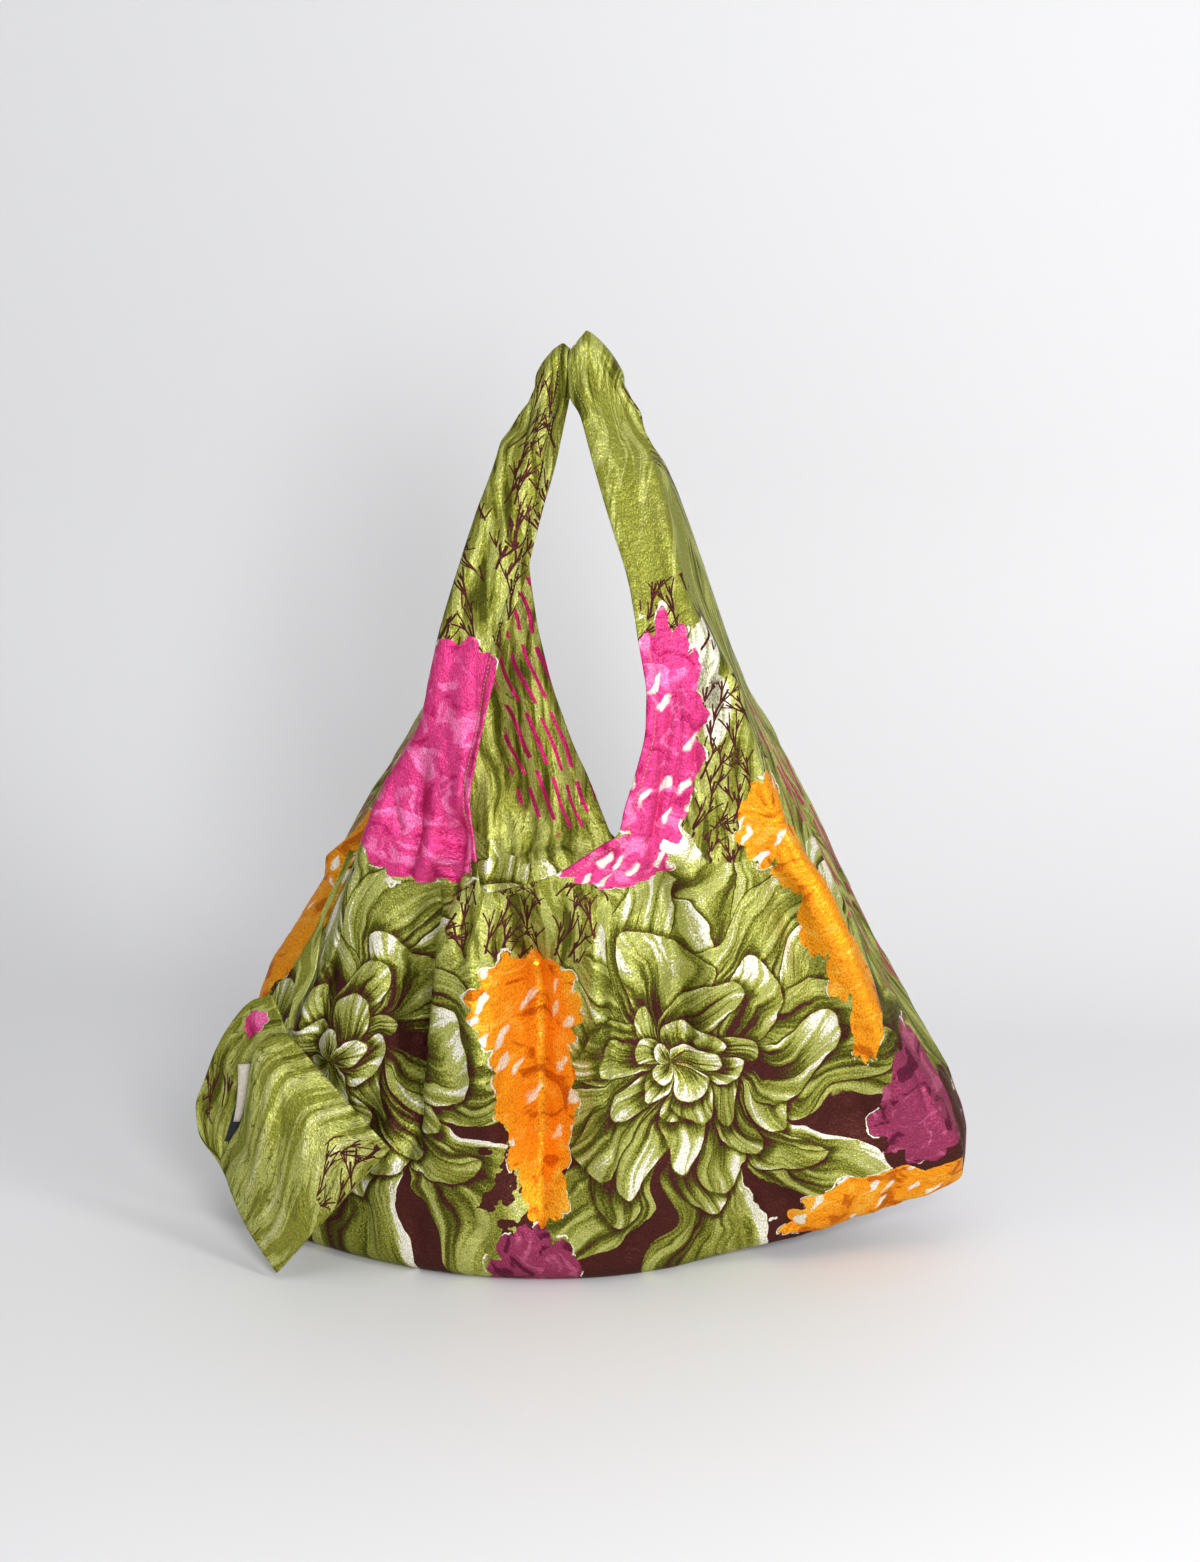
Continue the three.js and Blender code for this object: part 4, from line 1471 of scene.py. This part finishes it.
# The print's own measures. Pairs that end in Edge are from where to where a mask fades in.
cloth = {
    'frayScale': 0.045,
    'frayDetail': 3.0,
    'spotFray': 0.5,
    'spotEdge': (1.22, 1.27),
    'ground': {'Across': 6.5, 'Along': 60, 'Sway': 20.0},
    'bands': {'Across': 13, 'Along': 120, 'Sway': 16.0},
    'bandEdge': (0.5, 0.54),
    'bandShare': 0.9,
    'waves': {'Across': 10, 'Along': 55, 'Sway': 46.0},
    'waveLines': 80,
    'waveEdge': (0.82, 0.95),
    'waveFrayEdge': (0.42, 0.5),
    'waveShare': 0.75,
    'dashPitch': (10.5, 54),
    'dashLean': 0.34,
    'dashStagger': 0.25,
    'dashEdge': (0.13, 0.18),
    'dashGapEdge': (0.2, 0.22),
    'paleShare': (0.42, 0.52, 0.3, 0.9),
    'twigs': {'Size': 46, 'Thickness': 1.0},
}
flowers = {
    'drift': (0.07, 10.0),
    'fleckAcross': (0.078, -0.045),
    'fleckUp': (0.018, 0.03),
    'fleckEdge': (0.14, 0.3),
    'fleckChance': (0.52, 0.54),
    'petals': 0.048,
    'petalSlope': (0.003, 0.006, 0),
    'mottle': (0.05, 2.0, 0.55, 0.8),
}
blooms = {
    'darkFray': 90.0,
    'darkEdge': (22, 34),       # above a bloom's middle, where the dark ground gives way
    'otherPattern': -0.37,      # so that the second bloom isn't drawn like the first
    'stipple': (0.8, 1.0, 0.7),
    'stippleDepth': 0.45,
}


def printedInk(place, layout):
    # The colour of the print at each place.
    x, y, _ = parts(place)
    fray = noise(place, cloth['frayScale'], cloth['frayDetail'])

    def spotted(name):
        # Where any of the layout's spots of this name lies, with frayed edges.
        where = 0.0
        for middleX, middleY, width, height in layout[name]:
            reach = vectorCalc('LENGTH', joined((x - middleX) / width, (y - middleY) / height))
            reach = reach + fray * cloth['spotFray']
            where = calc('MAXIMUM', where, ranged(reach, *cloth['spotEdge'], 1.0, 0.0))
        return where

    stroke = use(strokes, Place=place, **cloth['ground'])
    colour = rampOf(stroke['Tone'], groundInks)
    if 'light' in layout:
        light = rampOf(stroke['Tone'], strapInks)
        if 'bands' in layout:
            bands = use(strokes, Place=place, **cloth['bands'])['Tone']
            light = blendColour(ranged(bands, *cloth['bandEdge']) * cloth['bandShare'], light, inks['green'])
        colour = blendColour(spotted('light'), colour, light)
    if 'waves' in layout:
        flow = use(strokes, Place=place, **cloth['waves'])['Tone']
        line = ranged(calc('SINE', flow * cloth['waveLines']), *cloth['waveEdge'])
        line = line * ranged(fray, *cloth['waveFrayEdge']) * cloth['waveShare']
        colour = blendColour(line, colour, inks['darkGreen'])
    if 'dashes' in layout:
        pitchX, pitchY = cloth['dashPitch']
        bentX, bentY, _ = parts(stroke['Place'])
        column = mulAdd(bentY, cloth['dashLean'], bentX) / pitchX
        row = y / pitchY + chances(calc('FLOOR', column))[0] * cloth['dashStagger']
        side = abs(calc('FRACT', column) - 0.5)
        dash = ranged(side, *cloth['dashEdge'], 1.0, 0.0) * ranged(calc('FRACT', row), *cloth['dashGapEdge'])
        colour = blendColour(dash * spotted('dashes'), colour, inks['deepPink'])
    if 'pale' in layout:
        pale = spotted('pale') * ranged(stroke['Tone'], *cloth['paleShare'])
        colour = blendColour(pale, colour, inks['cream'])
    if 'twigs' in layout:
        twig = use(twigs, Place=place, **cloth['twigs'])['Mask']
        colour = blendColour(twig * spotted('twigs'), colour, inks['maroon'])
    if 'flowers' not in layout:
        return colour
    ground = colour

    loose = drift(place, *flowers['drift'])
    u, v, _ = parts(loose)
    acrossU, acrossV = flowers['fleckAcross']
    upU, upV = flowers['fleckUp']
    slanted = joined(mulAdd(v, acrossV, u * acrossU), mulAdd(u, upU, v * upV))
    chance = parts(cells(slanted, 1.0, 'Color'))[0]
    fleck = ranged(cells(slanted, 1.0), *flowers['fleckEdge'], 1.0, 0.0)
    fleck = fleck * ranged(chance, *flowers['fleckChance'])
    fromMiddle = vectorCalc('SUBTRACT', loose, cells(loose, flowers['petals'], 'Position'))
    slope = vectorCalc('DOT_PRODUCT', fromMiddle, flowers['petalSlope'])
    mottle = noise(place, *flowers['mottle']) + slope

    def addFlowers(colour, over):
        # All the pale rims lie below the flowers, so that none crosses one.
        rows = [row for row in layout['flowers'] if row['over'] == over]
        drawn = [use(flowerPatch, Place=place, Ragged=fray, Centre=(row['x'], row['y'], 0),
                     Width=row['width'], Height=row['height'], Lobes=row['lobes']) for row in rows]
        for patch in drawn:
            colour = blendColour(patch['Rim'], colour, inks['cream'])
        for row, patch in zip(rows, drawn):
            shade = rampOf(mottle, flowerInks[row['ink']])
            if row['flecks']:
                shade = blendColour(fleck, shade, inks['cream'])
            colour = blendColour(patch['Cover'], colour, shade)
        return colour

    if 'blooms' in layout:
        spec = layout['blooms']
        low, high = (spec['y'] + edge for edge in blooms['darkEdge'])
        dark = ranged(mulAdd(fray, blooms['darkFray'], y), low, high, 1.0, 0.0)
        colour = blendColour(dark, colour, inks['maroon'])
    colour = addFlowers(colour, 0)
    if 'blooms' in layout:
        bent = mulAdd(fray, spec['overlap'], x)
        isLeft = calc('LESS_THAN', bent, spec['x'] - (spec['repeat'] - spec['overlap']) / 2)
        across = (mulAdd(isLeft, spec['repeat'], x) - spec['x']) / spec['width']
        up = (y - spec['y']) / spec['height']
        which = isLeft * blooms['otherPattern']
        drawn = use(bloom, Place=joined(across, up), Pattern=joined(which, which))
        stipple = noise(place, *blooms['stipple']) - 0.5
        tone = mulAdd(stipple, blooms['stippleDepth'], drawn['Tone'])
        colour = blendColour(drawn['Cover'], colour, rampOf(tone, bloomInks))
    if 'overBlooms' in layout:
        colour = blendColour(spotted('overBlooms'), colour, ground)
    return addFlowers(colour, 1)


# The finishes: bump in metres, and ranges as a value's low and high, then what they turn into

satin = {
    'bump': 0.00045,
    'shade': (0.28, 0.72, 0.68, 1.3),
    'roughness': (0.3, 0.7, 0.54, 0.38),
    'sockets': {
        'Metallic': 0.62,
        'Specular IOR Level': 0.2,
        'Specular Tint': (0.55, 0.58, 0.45, 1),
    },
}
wovenTape = {
    'bump': 0.0002,
    'roughness': (0.6, 1.1, 0.7, 0.5),
}
sewingThread = {
    'bump': 0.0001,
    'turns': (1.8, 1.0),
    'roughness': (0.3, 0.7, 0.6, 0.4),
    'inks': [(0.35, 'green'), (0.6, 'lightGreen')],
}
backdropPaper = {
    'Base Color': (0.78, 0.78, 0.79, 1),
    'Roughness': 0.6,
}


def principled(material):
    material.use_nodes = True
    return material.node_tree, material.node_tree.nodes['Principled BSDF']


def setSockets(shader, values):
    for name, value in values.items():
        shader.inputs[name].default_value = value


def clothPlace(tree):
    # Flat-cloth millimetres, from the sheet's own UV map.
    return vectorCalc('SCALE', addNode(tree, 'ShaderNodeUVMap', uv_map='cloth'), scale=1000.0)


def shaded(colour, shade):
    return blendColour(1.0, colour, joined(shade, shade, shade), 'MULTIPLY')


def finishWith(shader, colour, roughness, height, bump):
    wire(colour, shader.inputs['Base Color'])
    wire(roughness, shader.inputs['Roughness'])
    raised = addNode(height.tree, 'ShaderNodeBump', {'Distance': bump, 'Height': height})
    wire(raised, shader.inputs['Normal'])


def printedCloth(name, layout):
    material = bpy.data.materials.new(name)
    tree, shader = principled(material)
    place = clothPlace(tree)
    surface = use(grain, Place=place)
    shine = ranged(surface['Glint'], *satin['shade'], 'LINEAR')
    roughness = ranged(surface['Glint'], *satin['roughness'])
    finishWith(shader, shaded(printedInk(place, layout), shine), roughness, surface['Height'], satin['bump'])
    setSockets(shader, satin['sockets'])
    return material


def tape(name, colour):
    material = bpy.data.materials.new(name)
    tree, shader = principled(material)
    weave = use(tapeWeave, Place=clothPlace(tree))
    roughness = ranged(weave['Shade'], *wovenTape['roughness'])
    finishWith(shader, shaded(colour, weave['Shade']), roughness, weave['Height'], wovenTape['bump'])
    return material


def finishThread():
    # The sewing thread: a glossy light green, with painted shade between its turns.
    tree, shader = principled(thread)
    place = addNode(tree, 'ShaderNodeTexCoord', output='Object')
    x, y, z = parts(vectorCalc('SCALE', place, scale=1000.0))
    turns = noise(joined(x + y, z), *sewingThread['turns'])
    roughness = ranged(turns, *sewingThread['roughness'])
    finishWith(shader, rampOf(turns, sewingThread['inks']), roughness, turns, sewingThread['bump'])


def paper():
    # The backdrop, clear when it is seen from behind.
    material = bpy.data.materials.new('paper')
    tree, shader = principled(material)
    setSockets(shader, backdropPaper)
    behind = addNode(tree, 'ShaderNodeNewGeometry', output='Backfacing')
    clear = addNode(tree, 'ShaderNodeBsdfTransparent')
    sides = addNode(tree, 'ShaderNodeMixShader', (behind, Term(tree, shader.outputs[0]), clear))
    wire(sides, tree.nodes['Material Output'].inputs['Surface'])
    return material


finishThread()
for piece, node, slot, material in (
    (front, 'front_panel', 'printed_cloth', printedCloth('front_print', layouts['front'])),
    (back, 'back_panel', 'printed_cloth', printedCloth('back_print', layouts['back'])),
    (pouchFront, 'pouch_front', 'pouch_cloth', printedCloth('pouch_front_print', layouts['pouchFront'])),
    (pouchBack, 'pouch_back', 'pouch_cloth', printedCloth('pouch_back_print', layouts['pouchBack'])),
    (label, 'pouch_label', 'cream_tape', tape('cream_woven_tape', (0.87, 0.78, 0.64))),
    (tab, 'pouch_tab', 'black_tape', tape('black_woven_tape', (0.014, 0.017, 0.02))),
    (strip, 'seam_strip', 'pouch_cloth', printedCloth('strip_print', layouts['strip'])),
):
    piece.data.materials.append(material)
    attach(piece, 'root')
    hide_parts(node)
for piece, slot in zip((*hemStitches, pouchStitches), ('printed_cloth', 'printed_cloth', 'pouch_cloth')):
    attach(piece, 'root')
print('finishes made')

# The studio: area lights, in metres and watts, and the paper backdrop

lights = {
    'key': {'place': (0.69, -2.13, 1.08), 'target': (0, 0, 0.3), 'size': (0.5, 0.6), 'power': 32},
    'side': {'place': (1.72, -1.2, 1.0), 'target': (0, 0, 0.3), 'size': (0.4, 0.7), 'power': 19},
    'fill': {'place': (-1.9, -1.6, 1.3), 'target': (0, 0, 0.3), 'size': (1.4, 1.6), 'power': 7},
    'top': {'place': (0.1, -0.3, 2.5), 'target': (0.05, -0.2, 0), 'size': (2.6, 1.6), 'power': 10},
    # for the light that comes through the cloth
    'inside': {
        'place': (-0.01, -0.045, 0.19),
        'target': (-0.03, 0.1, 0.36),
        'size': (0.16, 0.1),
        'power': 0.35,
    },
}
surround = {
    'Color': (0.97, 0.98, 1, 1),
    'Strength': 0.32,
}
backdrop = {
    'halfWidth': 4,
    'front': -3,
    'bendStart': 0.44,
    'bendRadius': 0.4,
    'bendFrom': 0.08,       # the first angle of the bend, in radians
    'bendSteps': 14,
    'height': 4,
}


def addLight(name, spec):
    data = bpy.data.lights.new(name, 'AREA')
    data.shape = 'RECTANGLE'
    data.size, data.size_y = spec['size']
    data.energy = spec['power']
    light = bpy.data.objects.new(name, data)
    light.location = spec['place']
    x, y, z = np.array(spec['target'], float) - np.array(spec['place'], float)
    light.rotation_euler = (math.acos(-z / math.hypot(x, y, z)), 0, math.atan2(y, x) - math.pi / 2)
    bpy.context.collection.objects.link(light)


for name, spec in lights.items():
    addLight(name, spec)

world = bpy.data.worlds.new('studio')
bpy.context.scene.world = world
world.use_nodes = True
setSockets(world.node_tree.nodes['Background'], surround)


def addFloor():
    start, radius = backdrop['bendStart'], backdrop['bendRadius']
    angles = np.linspace(backdrop['bendFrom'], math.pi / 2, backdrop['bendSteps'])
    profile = [(backdrop['front'], 0), (start, 0)]
    profile += [(start + radius * math.sin(a), radius * (1 - math.cos(a))) for a in angles]
    profile += [(start + radius, backdrop['height'])]
    side = backdrop['halfWidth']
    vertices = [(x, y, z) for y, z in profile for x in (-side, side)]
    faces = [(2 * i, 2 * i + 1, 2 * i + 3, 2 * i + 2) for i in range(len(profile) - 1)]
    floor = addMesh('floor', vertices, [], faces)
    floor.data.materials.append(paper())


addFloor()
print('studio made')
